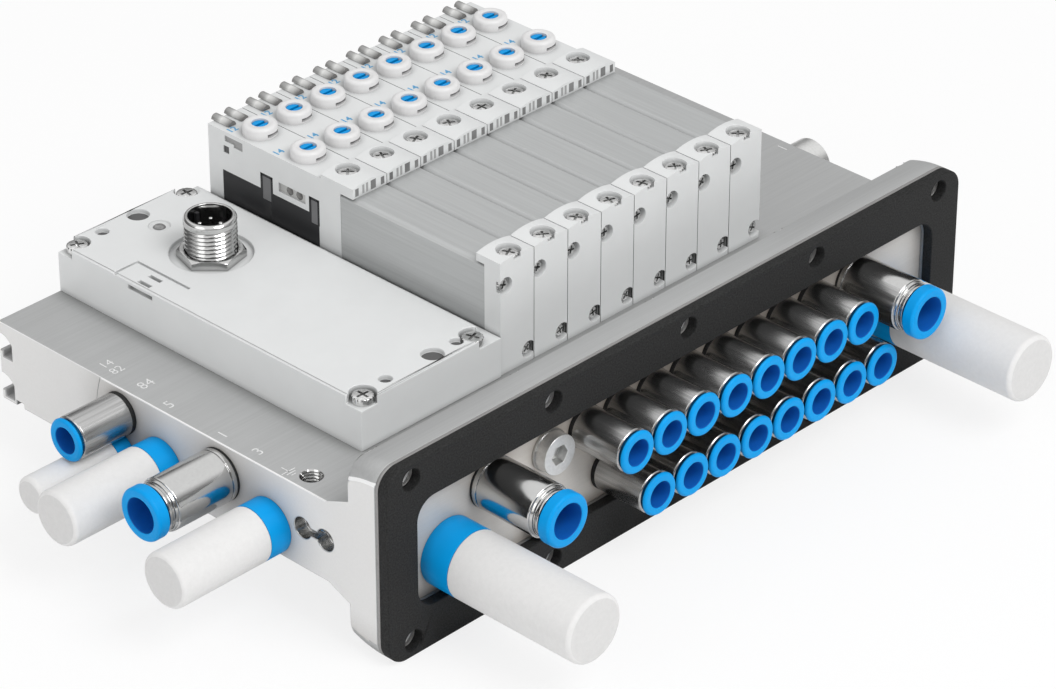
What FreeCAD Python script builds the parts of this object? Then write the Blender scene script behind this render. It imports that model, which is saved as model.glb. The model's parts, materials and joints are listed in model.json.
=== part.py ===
import FreeCAD, Part
import math
import os
import re

import Sketcher
from FreeCAD import Rotation, Vector

# Pneumatic valve island: eight valves and an electrical interface on one extruded manifold rail.
# Origin: centre of the flange's bolt rectangle, in the front plane of the gasket.
# +X runs along the valves, -Y is the side of the tube fittings, +Z is up. Millimetres.

SIZES = [
    ("flange_length", 182.5, "rail and flange, end to end"),
    ("flange_height", 47.5, "flange at its front face"),
    ("flange_rear_height", 44.6, "flange at its rear face"),
    ("flange_thickness", 8.2, "flange plate"),
    ("flange_arc", 24.5, "radius of the flange's long edges, front to rear"),
    ("corner_radius", 5.0, "outer corners of flange, sheet and gasket"),
    ("gasket_thickness", 2.6, "rubber frame"),
    ("carrier_thickness", 0.8, "steel sheet behind the rubber"),
    ("frame_side", 8.85, "gasket and sheet beside the window"),
    ("frame_bar", 10.35, "gasket and sheet above and below the window"),
    ("window_corner", 5.0, "inner corners of the window"),
    ("bolt_hole", 5.0, "clearance hole for M4.5 to M5"),
    ("bolt_inset", 7.25, "outer bolt holes from the flange's ends"),
    ("bolt_drop", 3.85, "bolt rows from the flange's long edges"),
    ("rail_height", 20.0, "extruded rail"),
    ("ramp_length", 6.4, "fillet-like ramp from flange to rail"),
    ("ramp_rise", 2.7, "ramp above the rail at the flange"),
    ("groove_depth", 4.0, "hook grooves in the rear face"),
    ("groove_mouth", 4.2, "opening of a hook groove"),
    ("groove_undercut", 1.5, "drop behind the lip of a hook groove"),
    ("groove_lip", 1.1, "thickness of that lip"),
    ("upper_groove", 2.7, "lower edge of the upper groove's mouth"),
    ("lower_groove", -7.5, "lower edge of the lower groove's mouth"),
    ("foot_slot_wall", 0.8, "slot under the rail to the lower hook groove"),
    ("foot_slot_width", 2.3, "slot under the rail"),
    ("foot_slot_depth", 1.2, "slot under the rail"),
    ("milled_depth", 0.3, "milled face at the left end"),
    ("milled_front", 88.0, "front of the milled face at the top edge"),
    ("keyhole_bore", 5.0, "double pocket in the left end"),
    ("keyhole_depth", 3.0, "double pocket in the left end"),
    ("keyhole_front", 18.6, "front bore of the double pocket"),
    ("keyhole_gap", 6.8, "bore to bore of the double pocket"),
    ("keyhole_neck", 1.8, "neck between the two bores"),
    ("earth_hole", 5.0, "threaded earth hole in the rail's top"),
    ("earth_hole_depth", 9.0, "threaded earth hole"),
    ("earth_hole_inset", 4.65, "from the left end"),
    ("earth_hole_station", 27.2, "from the gasket's front"),
    ("valve_gap", 0.2, "valve to valve, and interface to first valve"),
    ("fitting_gap", 0.4, "fitting to fitting in a row"),
    ("upper_start", 2.78, "first upper fitting, in pitches left of the middle"),
    ("lower_start", 2.1, "first lower fitting, in pitches left of the middle"),
    ("upper_row", 6.9, "height of the upper row"),
    ("lower_row", -6.9, "height of the lower row"),
    ("small_length", 16.0, "small fitting with its ring"),
    ("small_flange", 0.9, "small release ring's rim"),
    ("small_tube", 6.2, "bore for a 6 mm tube"),
    ("small_stub", 6.4, "threaded end of a small fitting"),
    ("small_seal", 1.1, "seal under a small fitting"),
    ("small_reach", 5.2, "sleeve inside a small fitting"),
    ("large_body", 12.4, "large fitting, outside"),
    ("large_length", 22.7, "large fitting with its ring"),
    ("large_barrel", 17.0, "large fitting, flange face to end of barrel"),
    ("large_flange", 3.0, "large release ring's rim"),
    ("large_tube", 8.2, "bore for an 8 mm tube"),
    ("large_stub", 8.4, "threaded end of a large fitting"),
    ("large_seal", 0.6, "seal under a large fitting"),
    ("large_reach", 7.0, "sleeve inside a large fitting"),
    ("large_neck", 11.6, "first step of the large fitting's neck"),
    ("large_groove", 10.7, "groove of the neck"),
    ("large_band", 11.2, "last band of the neck"),
    ("base_rim", 1.1, "rim at the foot of a large fitting"),
    ("base_groove", 0.25, "groove above that rim"),
    ("sleeve_wall", 0.7, "wall of a release sleeve"),
    ("sleeve_clearance", 0.07, "running clearance of a release sleeve, radial"),
    ("ring_gap", 0.6, "rim to fitting, room for the ring's travel"),
    ("stub_depth", 5.0, "how far threaded ends go into the rail"),
    ("fit_clearance", 0.05, "radial clearance of seated pieces"),
    ("front_large_left", 5.505, "large fitting, pitches left of the middle"),
    ("front_large_right", 5.58, "large fitting, pitches right of the middle"),
    ("front_large_height", 6.2, "both front large fittings"),
    ("front_silencer_left", 6.725, "silencer, pitches left of the middle"),
    ("front_silencer_right", 6.76, "silencer, pitches right of the middle"),
    ("front_silencer_height", -5.2, "both front silencers"),
    ("front_silencer_body", 16.0, "front silencer, outside"),
    ("front_silencer_length", 42.5, "front silencer, from the flange"),
    ("front_silencer_collar", 7.7, "its collar"),
    ("end_silencer_body", 13.0, "two end silencers, outside"),
    ("end_silencer_length", 30.2, "two end silencers"),
    ("end_silencer_collar", 5.5, "their collars"),
    ("pilot_silencer_body", 8.8, "small end silencer, outside"),
    ("pilot_silencer_length", 26.0, "small end silencer"),
    ("pilot_silencer_collar", 4.0, "its collar"),
    ("silencer_wall", 1.2, "collar wall round the porous body"),
    ("silencer_floor", 2.2, "solid foot of a collar"),
    ("silencer_round", 1.2, "rounded end edge of a porous body"),
    ("pilot_port_station", 82.0, "end port with the small fitting"),
    ("pilot_port_height", 3.8, "end port with the small fitting"),
    ("pilot_exhaust_station", 82.5, "end port with the small silencer"),
    ("pilot_exhaust_height", -5.9, "end port with the small silencer"),
    ("rear_exhaust_station", 69.2, "end port, rear silencer"),
    ("rear_exhaust_height", -3.7, "end port, rear silencer"),
    ("supply_station", 50.6, "end port with the large fitting"),
    ("supply_height", 2.2, "end port with the large fitting"),
    ("front_exhaust_station", 35.4, "end port, front silencer"),
    ("front_exhaust_height", -3.6, "end port, front silencer"),
    ("plug_head", 9.9, "front port plugs, head"),
    ("plug_proud", 3.6, "front port plugs, height of head"),
    ("plug_socket", 4.2, "hexagon socket across flats"),
    ("plug_socket_depth", 2.4, "hexagon socket"),
    ("plug_foot", 0.8, "collar under a plug's head"),
    ("flush_plug_depth", 6.0, "plugs sunk in the right end"),
    ("supply_plug_proud", 8.0, "plug that stands out of the right end"),
    ("upper_plug_place", 3.84, "upper front plug, pitches left of the middle"),
    ("upper_plug_height", 6.0, "upper front plug"),
    ("lower_plug_place", 4.14, "lower front plug, pitches left of the middle"),
    ("lower_plug_height", -8.2, "lower front plug"),
    ("box_inset", 18.35, "interface housing from the rail's left end"),
    ("box_length", 41.9, "interface housing along the rail"),
    ("box_front", 26.2, "interface housing, front face"),
    ("box_depth", 96.4, "interface housing, front to rear"),
    ("box_height", 12.2, "lid above the rail"),
    ("lid_inset", 2.6, "lid narrower than the housing's foot, right side"),
    ("lid_rim", 0.5, "lowered rim round the lid"),
    ("lid_rim_drop", 0.3, "lowered rim round the lid"),
    ("notch_side", 4.7, "corner notches for the screws"),
    ("notch_bore", 6.0, "round recess at each screw"),
    ("notch_floor", 9.9, "notch floor above the rail"),
    ("box_wall", 1.8, "wall and lid of the housing"),
    ("board_thickness", 1.6, "control board"),
    ("board_ledge", 1.2, "ledge that the board seats against"),
    ("board_height", 4.0, "ledge above the rail"),
    ("relay_side", 9.0, "relay blocks on the board"),
    ("relay_height", 4.5, "relay blocks on the board"),
    ("connector_inset", 27.5, "round connector, from the housing's rear"),
    ("connector_thread", 12.0, "M12 thread, outside"),
    ("connector_bore", 9.8, "inside of the threaded shell"),
    ("connector_relief", 0.6, "turned relief between nut and thread"),
    ("connector_rise", 9.5, "shell above the lid"),
    ("connector_dish", 18.9, "round recess in the lid"),
    ("connector_dish_depth", 1.0, "round recess in the lid"),
    ("connector_collar", 14.4, "collar of the shell under the lid"),
    ("connector_collar_thickness", 1.4, "collar of the shell under the lid"),
    ("nut_flats", 13.6, "panel nut across flats"),
    ("nut_height", 2.2, "panel nut"),
    ("insert_depth", 8.0, "insert below the shell's rim"),
    ("contact_diameter", 1.0, "connector contacts"),
    ("contact_circle", 4.6, "circle of the contacts"),
    ("contact_height", 3.2, "contacts above the insert"),
    ("lamp_inset", 10.4, "status lamp, from the housing's rear"),
    ("lamp_diameter", 2.6, "status lamp"),
    ("lamp_dish", 5.0, "dish round the lamp"),
    ("lamp_dish_depth", 0.4, "dish round the lamp"),
    ("lamp_rise", 0.5, "lamp above its dish"),
    ("box_screw_side", 3.3, "interface screws, from the lid's sides"),
    ("box_screw_end", 2.9, "interface screws, from the housing's ends"),
    ("box_screw_head", 4.9, "interface screws, head"),
    ("box_screw_head_height", 1.7, "interface screws, head"),
    ("box_screw_shank", 2.9, "interface screws, thread"),
    ("box_screw_bite", 6.0, "interface screws, thread in the rail"),
    ("lid_hole_depth", 1.2, "blind round holes in the lid"),
    ("wide_lid_hole", 5.2, "wide blind holes"),
    ("narrow_lid_hole", 3.1, "narrow blind holes"),
    ("lid_hole_inset", 3.3, "blind holes from the housing's ends"),
    ("lid_hole_reach", 10.6, "narrow blind holes from the connector's line"),
    ("wide_hole_shift", 3.4, "wide front hole from the connector's line"),
    ("tab_inset", 18.6, "tab recess, from the housing's rear"),
    ("tab_length", 17.2, "tab recess"),
    ("tab_reach", 7.2, "tab recess from the left face"),
    ("tab_groove", 0.7, "groove round the tab"),
    ("tab_groove_depth", 0.6, "groove round the tab"),
    ("tab_slot_length", 3.9, "tab slots"),
    ("tab_slot_width", 1.0, "tab slots"),
    ("tab_slot_gap", 3.1, "first tab slot to the second"),
    ("side_slot_drop", 1.2, "slot in the left face, below the lid"),
    ("side_slot_height", 0.9, "slot in the left face"),
    ("seal_height", 0.4, "seal under a valve"),
    ("cover_front", 26.7, "front face of the end covers"),
    ("metal_front", 31.5, "front end of the metal bodies"),
    ("metal_rear", 75.7, "rear end of the metal bodies"),
    ("metal_top", 25.9, "metal bodies above the rail"),
    ("shoulder_width", 1.1, "bevel along a metal body"),
    ("shoulder_drop", 0.7, "bevel along a metal body"),
    ("cover_lip", 33.9, "rear of the cover's lip"),
    ("cover_top", 28.5, "end covers above the rail"),
    ("crown", 0.7, "rise of the crowned tops"),
    ("vent_margin", 0.6, "vent slots to the head's top and foot"),
    ("vent_depth", 1.1, "vent slots"),
    ("vent_front", 71.7, "vent face of the pilot head"),
    ("block_top", 29.1, "front block of the pilot head"),
    ("block_rear", 81.9, "front block of the pilot head"),
    ("pilot_top", 27.4, "pilot head above the rail"),
    ("pilot_rear", 118.5, "rear face of the pilot head"),
    ("coil_front", 82.7, "front solenoid"),
    ("coil_middle", 98.3, "front solenoid to rear solenoid"),
    ("coil_rear", 114.0, "rear solenoid"),
    ("coil_top", 17.4, "solenoids above the rail"),
    ("front_override", 91.2, "front manual override"),
    ("rear_override", 106.8, "rear manual override"),
    ("cap_diameter", 8.0, "override cap"),
    ("cap_height", 2.7, "override cap"),
    ("cap_bevel", 0.5, "override cap, top edge"),
    ("plunger_diameter", 3.8, "override plunger"),
    ("plunger_length", 3.4, "override plunger"),
    ("plunger_sunk", 0.5, "plunger below the cap's top"),
    ("plunger_clearance", 0.06, "running clearance of a plunger, radial"),
    ("plunger_room", 1.5, "room below a plunger"),
    ("plunger_slot", 0.8, "screwdriver slot"),
    ("plunger_slot_depth", 0.6, "screwdriver slot"),
    ("guide_width", 2.4, "light guides"),
    ("guide_front", 113.5, "light guides, front"),
    ("guide_overhang", 0.9, "light guides behind the rear face"),
    ("left_guide", -2.2, "left light guide from the valve's centre"),
    ("right_guide", 1.7, "right light guide from the valve's centre"),
    ("clip_low", 14.9, "retaining clips, lower end"),
    ("clip_high", 21.1, "retaining clips, upper end"),
    ("clip_recess", 0.6, "recess for the clips"),
    ("clip_front", 82.9, "front clip"),
    ("clip_front_width", 2.6, "front clip"),
    ("clip_middle", 97.9, "middle clip"),
    ("clip_middle_width", 3.3, "middle clip"),
    ("window_front", 87.0, "side window of the pilot head, front"),
    ("window_rear", 95.6, "side window, rear"),
    ("window_low", 18.8, "side window, lower edge"),
    ("window_high", 21.1, "side window, upper edge"),
    ("catch_length", 5.8, "stepped notch in the head's side"),
    ("catch_drop", 1.0, "stepped notch, below the head's top"),
    ("catch_low", 2.1, "stepped notch, deep half"),
    ("catch_high", 1.4, "stepped notch, shallow half"),
    ("catch_window", 1.8, "square hole under the notch"),
    ("catch_gap", 0.5, "square hole to notch and to the rear wall"),
    ("cover_screw_inset", 2.6, "top screw behind the cover's front"),
    ("side_screw_inset", 1.6, "front and foot screws from the cover's edges"),
    ("side_screw_drop", 6.7, "front screw below the cover's top"),
    ("foot_screw_height", 3.0, "foot screw above the rail"),
    ("block_screw_station", 78.6, "screw of the pilot head's front block"),
    ("large_screw_head", 4.5, "top screws, head"),
    ("small_screw_head", 3.0, "front and foot screws, head"),
    ("screw_head_height", 1.0, "screw heads"),
    ("screw_sunk", 0.3, "screw heads below the surface"),
    ("screw_shank", 2.2, "screw threads"),
    ("screw_bite", 3.0, "length of a screw's thread"),
    ("recess_margin", 0.55, "room round a sunk screw head"),
]

NAMES = {alias for alias, size, note in SIZES}
VALVES = 8
STATIONS = 16
BOLTS = 5
# Vent slots of a pilot head, as shares of the valve's width from its middle
VENTS = ((-0.43, -0.33), (-0.22, -0.16), (-0.11, -0.05), (0.03, 0.18), (0.33, 0.43))
OVERRUN = "1"

doc = FreeCAD.newDocument("valve_island")
sheet = doc.addObject("Spreadsheet::Sheet", "Sizes")
for row, (alias, size, note) in enumerate(SIZES, start=1):
    sheet.set("A%d" % row, alias)
    sheet.set("B%d" % row, str(size))
    sheet.setAlias("B%d" % row, alias)
    sheet.set("C%d" % row, note)
doc.recompute()

# Values that several pieces share, as sums of sheet cells
FLANGE_FRONT = "(gasket_thickness + carrier_thickness)"
FLANGE_REAR = "(%s + flange_thickness)" % FLANGE_FRONT
RAIL_TOP = "(rail_height / 2)"
LEFT_END = "(-flange_length / 2)"
RIGHT_END = "(flange_length / 2)"
WINDOW_LENGTH = "(flange_length - 2 * frame_side)"
WINDOW_HEIGHT = "(flange_height - 2 * frame_bar)"
PITCH = "((flange_length - 2 * bolt_inset) / %d)" % STATIONS
BOLT_PITCH = "((flange_length - 2 * bolt_inset) / %d)" % (BOLTS - 1)
VALVE_WIDTH = "(%s - valve_gap)" % PITCH
HALF_VALVE = "(%s / 2)" % VALVE_WIDTH
SMALL_RADIUS = "((%s - fitting_gap) / 2)" % PITCH
BOX_LEFT = "(%s + box_inset)" % LEFT_END
BOX_RIGHT = "(%s + box_length)" % BOX_LEFT
BOX_REAR = "(box_front + box_depth)"
LID_RIGHT = "(%s - lid_inset)" % BOX_RIGHT
LID_UNDER = "(box_height - connector_dish_depth - box_wall)"
CONNECTOR = ("(%s + box_length / 2)" % BOX_LEFT, "(%s - connector_inset)" % BOX_REAR)
LAMP = (CONNECTOR[0], "(%s - lamp_inset)" % BOX_REAR)
FIRST_VALVE = "(%s + valve_gap + %s)" % (BOX_RIGHT, HALF_VALVE)
GROOVE_FLOOR = "(%s - groove_depth)" % BOX_REAR
CROWN_RADIUS = "((%s ^ 2 + crown ^ 2) / (2 * crown))" % HALF_VALVE
SMALL_SLEEVE = "(small_tube + 2 * sleeve_wall)"
LARGE_SLEEVE = "(large_tube + 2 * sleeve_wall)"
SMALL_FACE = "(small_length - small_flange - ring_gap)"
LARGE_FACE = "(large_length - large_flange - ring_gap)"

UPRIGHT = Rotation()
OUT_OF_FRONT = Rotation(Vector(1, 0, 0), 90)
OUT_OF_LEFT = Rotation(Vector(0, 1, 0), -90)
OUT_OF_RIGHT = Rotation(Vector(0, 1, 0), 90)


def sized(text):
    """Turn a sum of size names into an expression on the sheet."""
    return re.sub(r"[a-z_]+", lambda word: "Sizes." + word[0] if word[0] in NAMES else word[0], text)


def number(text):
    """Present value of a sum of size names."""
    return float(sheet.evalExpression(sized(text)))


def bind(thing, prop, text):
    thing.setExpression(prop, sized(text))


def seat(thing, x="0", y="0", z="0", turn=UPRIGHT):
    """Put an object at a place given by size names."""
    thing.Placement = FreeCAD.Placement(Vector(), turn)
    for axis, text in zip("xyz", (x, y, z)):
        if text != "0":
            bind(thing, "Placement.Base." + axis, text)
    return thing


def new_sketch(body, name, role, offset):
    """Empty sketch on one of the body's own origin planes, moved along the plane's normal."""
    sketch = body.newObject("Sketcher::SketchObject", name)
    plane = next(part for part in body.Origin.OriginFeatures if part.Role == role)
    sketch.AttachmentSupport = [(plane, "")]
    sketch.MapMode = "FlatFace"
    bind(sketch, "AttachmentOffset.Base.z", offset)
    return sketch


def pin_point(sketch, curve, end, point):
    """Tie a point of a sketch to a pair of size expressions."""
    for kind, text in zip(("DistanceX", "DistanceY"), point):
        where = sketch.addConstraint(Sketcher.Constraint(kind, -1, 1, curve, end, number(text)))
        bind(sketch, "Constraints[%d]" % where, text)


def add_loop(sketch, points):
    """Closed outline. A point is (x, y), or (x, y, radius) where an arc leaves it.

    A positive radius bulges to the right of the way along the outline, a negative one to the left.
    """
    first = sketch.GeometryCount
    spots = [Vector(number(point[0]), number(point[1]), 0) for point in points]
    ends = []
    for place, point in enumerate(points):
        start, stop = spots[place], spots[(place + 1) % len(points)]
        if len(point) == 2:
            sketch.addGeometry(Part.LineSegment(start, stop))
            ends.append((1, 2))
            continue
        radius = number(point[2])
        chord = stop - start
        right = Vector(chord.y, -chord.x, 0).normalize()
        rise = abs(radius) - math.sqrt(radius ** 2 - chord.Length ** 2 / 4)
        middle = (start + stop) / 2 + right * math.copysign(rise, radius)
        curve = sketch.addGeometry(Part.Arc(start, middle, stop))
        head = sketch.getPoint(curve, 1)
        forward = head.distanceToPoint(start) < head.distanceToPoint(stop)
        ends.append((1, 2) if forward else (2, 1))
    for place in range(len(points)):
        after = (place + 1) % len(points)
        sketch.addConstraint(Sketcher.Constraint(
            "Coincident", first + place, ends[place][1], first + after, ends[after][0]))
    for place, point in enumerate(points):
        pin_point(sketch, first + place, ends[place][0], point)
        if len(point) == 3:
            where = sketch.addConstraint(Sketcher.Constraint("Radius", first + place, abs(number(point[2]))))
            bind(sketch, "Constraints[%d]" % where, point[2].lstrip("-"))


def add_circle(sketch, x, y, diameter):
    centre = Vector(number(x), number(y), 0)
    curve = sketch.addGeometry(Part.Circle(centre, Vector(0, 0, 1), number(diameter) / 2))
    pin_point(sketch, curve, 3, (x, y))
    where = sketch.addConstraint(Sketcher.Constraint("Diameter", curve, number(diameter)))
    bind(sketch, "Constraints[%d]" % where, diameter)


def add_slab(sketch, x_low, x_high, y_low, y_high):
    add_loop(sketch, [(x_low, y_low), (x_high, y_low), (x_high, y_high), (x_low, y_high)])


def new_body(label):
    body = doc.addObject("PartDesign::Body", label)
    body.Label = label
    return body


def pad(body, sketch, length, backwards=False):
    """Extrude along the sketch's normal, or against it."""
    feature = body.newObject("PartDesign::Pad", sketch.Name + "_pad")
    feature.Profile = sketch
    bind(feature, "Length", length)
    feature.Reversed = backwards
    sketch.Visibility = False
    doc.recompute()
    return feature


def pocket(body, sketch, depth, forwards=False):
    """Cut against the sketch's normal, or along it, and make sure that something was cut."""
    before = body.Shape.Volume
    feature = body.newObject("PartDesign::Pocket", sketch.Name + "_cut")
    feature.Profile = sketch
    bind(feature, "Length", depth)
    feature.Reversed = forwards
    doc.recompute()
    if body.Shape.Volume > before - 1e-3:
        raise RuntimeError("nothing was cut by " + feature.Name)
    return feature


def repeat(body, feature, axis_role, pitch, count):
    """Copies of a feature in a row."""
    row = body.newObject("PartDesign::LinearPattern", feature.Name + "_row")
    row.Originals = [feature]
    axis = next(part for part in body.Origin.OriginFeatures if part.Role == axis_role)
    row.Direction = (axis, [""])
    bind(row, "Length", "(%s) * %d" % (pitch, count - 1))
    row.Occurrences = count
    body.Tip = row
    doc.recompute()
    return row


def turned(label, points):
    """A lathe-turned piece: half section of (radius, height) pairs round the local Z axis."""
    body = new_body(label)
    sketch = new_sketch(body, label + "_section", "XZ_Plane", "0")
    add_loop(sketch, points)
    spin = body.newObject("PartDesign::Revolution", label + "_turned")
    spin.Profile = sketch
    spin.ReferenceAxis = (sketch, ["V_Axis"])
    spin.Angle = 360.0
    doc.recompute()
    return body


def block(name, x_low, x_high, y_low, y_high, z_low, z_high):
    """Rectangular block between pairs of size expressions."""
    piece = doc.addObject("Part::Box", name)
    for side, axis, low, high in (("Length", "x", x_low, x_high), ("Width", "y", y_low, y_high),
                                  ("Height", "z", z_low, z_high)):
        bind(piece, side, "(%s) - (%s)" % (high, low))
        bind(piece, "Placement.Base." + axis, low)
    return piece


def bar(name, diameter, length, z_low="0"):
    """Upright round bar on the local Z axis."""
    piece = doc.addObject("Part::Cylinder", name)
    bind(piece, "Radius", "(%s) / 2" % diameter)
    bind(piece, "Height", length)
    bind(piece, "Placement.Base.z", z_low)
    return piece


def cut(label, base, tools):
    """Take tools away from a base, as a new object."""
    tool = tools[0]
    if len(tools) > 1:
        tool = doc.addObject("Part::MultiFuse", label + "_tools")
        tool.Shapes = tools
    piece = doc.addObject("Part::Cut", label)
    piece.Base = base
    piece.Tool = tool
    piece.Label = label
    return piece


def fuse(label, pieces):
    piece = doc.addObject("Part::MultiFuse", label)
    piece.Shapes = pieces
    piece.Label = label
    return piece


def linked(name, master, x="0", y="0", z="0", turn=UPRIGHT):
    """Another copy of a master piece, at its own place."""
    copy = doc.addObject("App::Link", name)
    copy.LinkedObject = master
    copy.LinkTransform = True
    return seat(copy, x, y, z, turn)


def group(label, pieces):
    """Separate like pieces that share one node."""
    bundle = doc.addObject("Part::Compound", label)
    bundle.Links = pieces
    bundle.Label = label
    return bundle


def valve_centre(place):
    return "%s + %s * %d" % (FIRST_VALVE, PITCH, place)


def port_place(pitches):
    """Place along the flange of a port that lies some pitches from its middle."""
    return "%s * %s" % (pitches, PITCH)


def per_valve(label, masters):
    """The same pieces on every valve, whose local origin is the valve's centre on the rail's top."""
    copies = []
    for place in range(VALVES):
        for order, master in enumerate(masters):
            name = "%s_%d_%d" % (label, place + 1, order + 1)
            copies.append(linked(name, master, valve_centre(place), "0", RAIL_TOP))
    return group(label, copies)


# Where things go: (x or station, height) of each front port and each end port
UPPER_FIRST, LOWER_FIRST = port_place("-upper_start"), port_place("-lower_start")
FRONT_LARGE = [(port_place("-front_large_left"), "front_large_height"),
               (port_place("front_large_right"), "front_large_height")]
FRONT_SILENCERS = [(port_place("-front_silencer_left"), "front_silencer_height"),
                   (port_place("front_silencer_right"), "front_silencer_height")]
FRONT_PLUGS = [(port_place("-upper_plug_place"), "upper_plug_height"),
               (port_place("-lower_plug_place"), "lower_plug_height")]
PILOT_PORT = ("pilot_port_station", "pilot_port_height")
PILOT_EXHAUST = ("pilot_exhaust_station", "pilot_exhaust_height")
REAR_EXHAUST = ("rear_exhaust_station", "rear_exhaust_height")
SUPPLY = ("supply_station", "supply_height")
FRONT_EXHAUST = ("front_exhaust_station", "front_exhaust_height")
BOX_SCREWS = [(x, y) for x in (BOX_LEFT + " + box_screw_side", LID_RIGHT + " - box_screw_side")
              for y in ("box_front + box_screw_end", BOX_REAR + " - box_screw_end")]


def hook_groove(low):
    """Corners of a hook groove in the rear face, from its mouth's lower edge up."""
    lip = BOX_REAR + " - groove_lip"
    return [
        (BOX_REAR, low), (lip, low), (lip, low + " - groove_undercut"),
        (GROOVE_FLOOR, low + " - groove_undercut"),
        (GROOVE_FLOOR, low + " + groove_mouth / 2", "-groove_mouth"), (BOX_REAR, low + " + groove_mouth"),
    ]


def manifold_rail():
    """Extruded rail with its flange, hook grooves, ports and fixing holes."""
    body = new_body("manifold_rail")
    section = new_sketch(body, "rail_section", "YZ_Plane", LEFT_END)
    ramp_end = FLANGE_REAR + " + ramp_length"
    slot_rear = GROOVE_FLOOR + " - foot_slot_wall"
    add_loop(section, [
        (FLANGE_FRONT, "-flange_height / 2", "flange_arc"),
        (FLANGE_REAR, "-flange_rear_height / 2"),
        (FLANGE_REAR, "-rail_height / 2 - ramp_rise"),
        (ramp_end, "-rail_height / 2"),
        (slot_rear + " - foot_slot_width", "-rail_height / 2"),
        (slot_rear + " - foot_slot_width", "-rail_height / 2 + foot_slot_depth"),
        (slot_rear, "-rail_height / 2 + foot_slot_depth"), (slot_rear, "-rail_height / 2"),
        (BOX_REAR, "-rail_height / 2"),
    ] + hook_groove("lower_groove") + hook_groove("upper_groove") + [
        (BOX_REAR, "rail_height / 2"),
        (ramp_end, "rail_height / 2"),
        (FLANGE_REAR, "rail_height / 2 + ramp_rise"),
        (FLANGE_REAR, "flange_rear_height / 2", "flange_arc"),
        (FLANGE_FRONT, "flange_height / 2"),
    ])
    extrusion = pad(body, section, "flange_length")

    # Rounded outer corners of the flange: the edges where its long faces meet the end faces
    corners = []
    for place, edge in enumerate(extrusion.Shape.Edges, start=1):
        middle = edge.BoundBox.Center
        at_end = abs(abs(middle.x) - number(RIGHT_END)) < 1e-3 and edge.BoundBox.XLength < 1e-3
        at_side = abs(middle.z) > number("flange_rear_height / 2") and edge.BoundBox.YLength > 1
        if at_end and at_side:
            corners.append("Edge%d" % place)
    rounding = body.newObject("PartDesign::Fillet", "flange_corners")
    rounding.Base = (extrusion, corners)
    bind(rounding, "Radius", "corner_radius")
    body.Tip = rounding
    doc.recompute()

    bolts = new_sketch(body, "rail_bolt_holes", "XZ_Plane", "-(%s)" % FLANGE_FRONT)
    bolt_row(bolts)
    repeat(body, pocket(body, bolts, "flange_thickness + ramp_length"), "X_Axis", BOLT_PITCH, BOLTS)

    small_port = "small_stub + 2 * fit_clearance"
    large_port = "large_stub + 2 * fit_clearance"
    for name, first, height in (("upper_ports", UPPER_FIRST, "upper_row"),
                                ("lower_ports", LOWER_FIRST, "lower_row")):
        ports = new_sketch(body, name, "XZ_Plane", "-(%s)" % FLANGE_FRONT)
        add_circle(ports, first, height, small_port)
        repeat(body, pocket(body, ports, "stub_depth + fit_clearance"), "X_Axis", PITCH, VALVES)

    others = new_sketch(body, "front_ports", "XZ_Plane", "-(%s)" % FLANGE_FRONT)
    for place, height in FRONT_LARGE + FRONT_SILENCERS:
        add_circle(others, place, height, large_port)
    for place, height in FRONT_PLUGS:
        add_circle(others, place, height, small_port)
    pocket(body, others, "stub_depth + fit_clearance")

    for name, offset, forwards in (("left_ports", LEFT_END, True), ("right_ports", RIGHT_END, False)):
        ends = new_sketch(body, name, "YZ_Plane", offset)
        for station, height in (PILOT_PORT, PILOT_EXHAUST):
            add_circle(ends, station, height, small_port)
        for station, height in (REAR_EXHAUST, SUPPLY, FRONT_EXHAUST):
            add_circle(ends, station, height, large_port)
        pocket(body, ends, "flush_plug_depth + fit_clearance", forwards)

    milled = new_sketch(body, "milled_end", "YZ_Plane", LEFT_END)
    add_loop(milled, [
        ("milled_front", "rail_height / 2 + 1", "-rail_height * 1.4"),
        ("milled_front", "-rail_height / 2 - 1"),
        (BOX_REAR + " + 1", "-rail_height / 2 - 1"),
        (BOX_REAR + " + 1", "rail_height / 2 + 1"),
    ])
    pocket(body, milled, "milled_depth", True)

    for name, station in (("keyhole_front_bore", "keyhole_front"),
                          ("keyhole_rear_bore", "keyhole_front + keyhole_gap")):
        hole = new_sketch(body, name, "YZ_Plane", LEFT_END)
        add_circle(hole, station, "0", "keyhole_bore")
        pocket(body, hole, "keyhole_depth", True)
    neck = new_sketch(body, "keyhole_neck", "YZ_Plane", LEFT_END)
    add_slab(neck, "keyhole_front", "keyhole_front + keyhole_gap", "-keyhole_neck / 2", "keyhole_neck / 2")
    pocket(body, neck, "keyhole_depth", True)

    earth = new_sketch(body, "earth_bore", "XY_Plane", RAIL_TOP)
    add_circle(earth, LEFT_END + " + earth_hole_inset", "earth_hole_station", "earth_hole")
    pocket(body, earth, "earth_hole_depth")
    threads = new_sketch(body, "box_screw_bores", "XY_Plane", RAIL_TOP)
    for x, y in BOX_SCREWS:
        add_circle(threads, x, y, "box_screw_shank + 2 * fit_clearance")
    pocket(body, threads, "box_screw_bite + fit_clearance")
    return body


def bolt_row(sketch):
    """The first upper and lower bolt hole, at the flange's left end."""
    for height in ("flange_height / 2 - bolt_drop", "bolt_drop - flange_height / 2"):
        add_circle(sketch, LEFT_END + " + bolt_inset", height, "bolt_hole")


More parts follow.
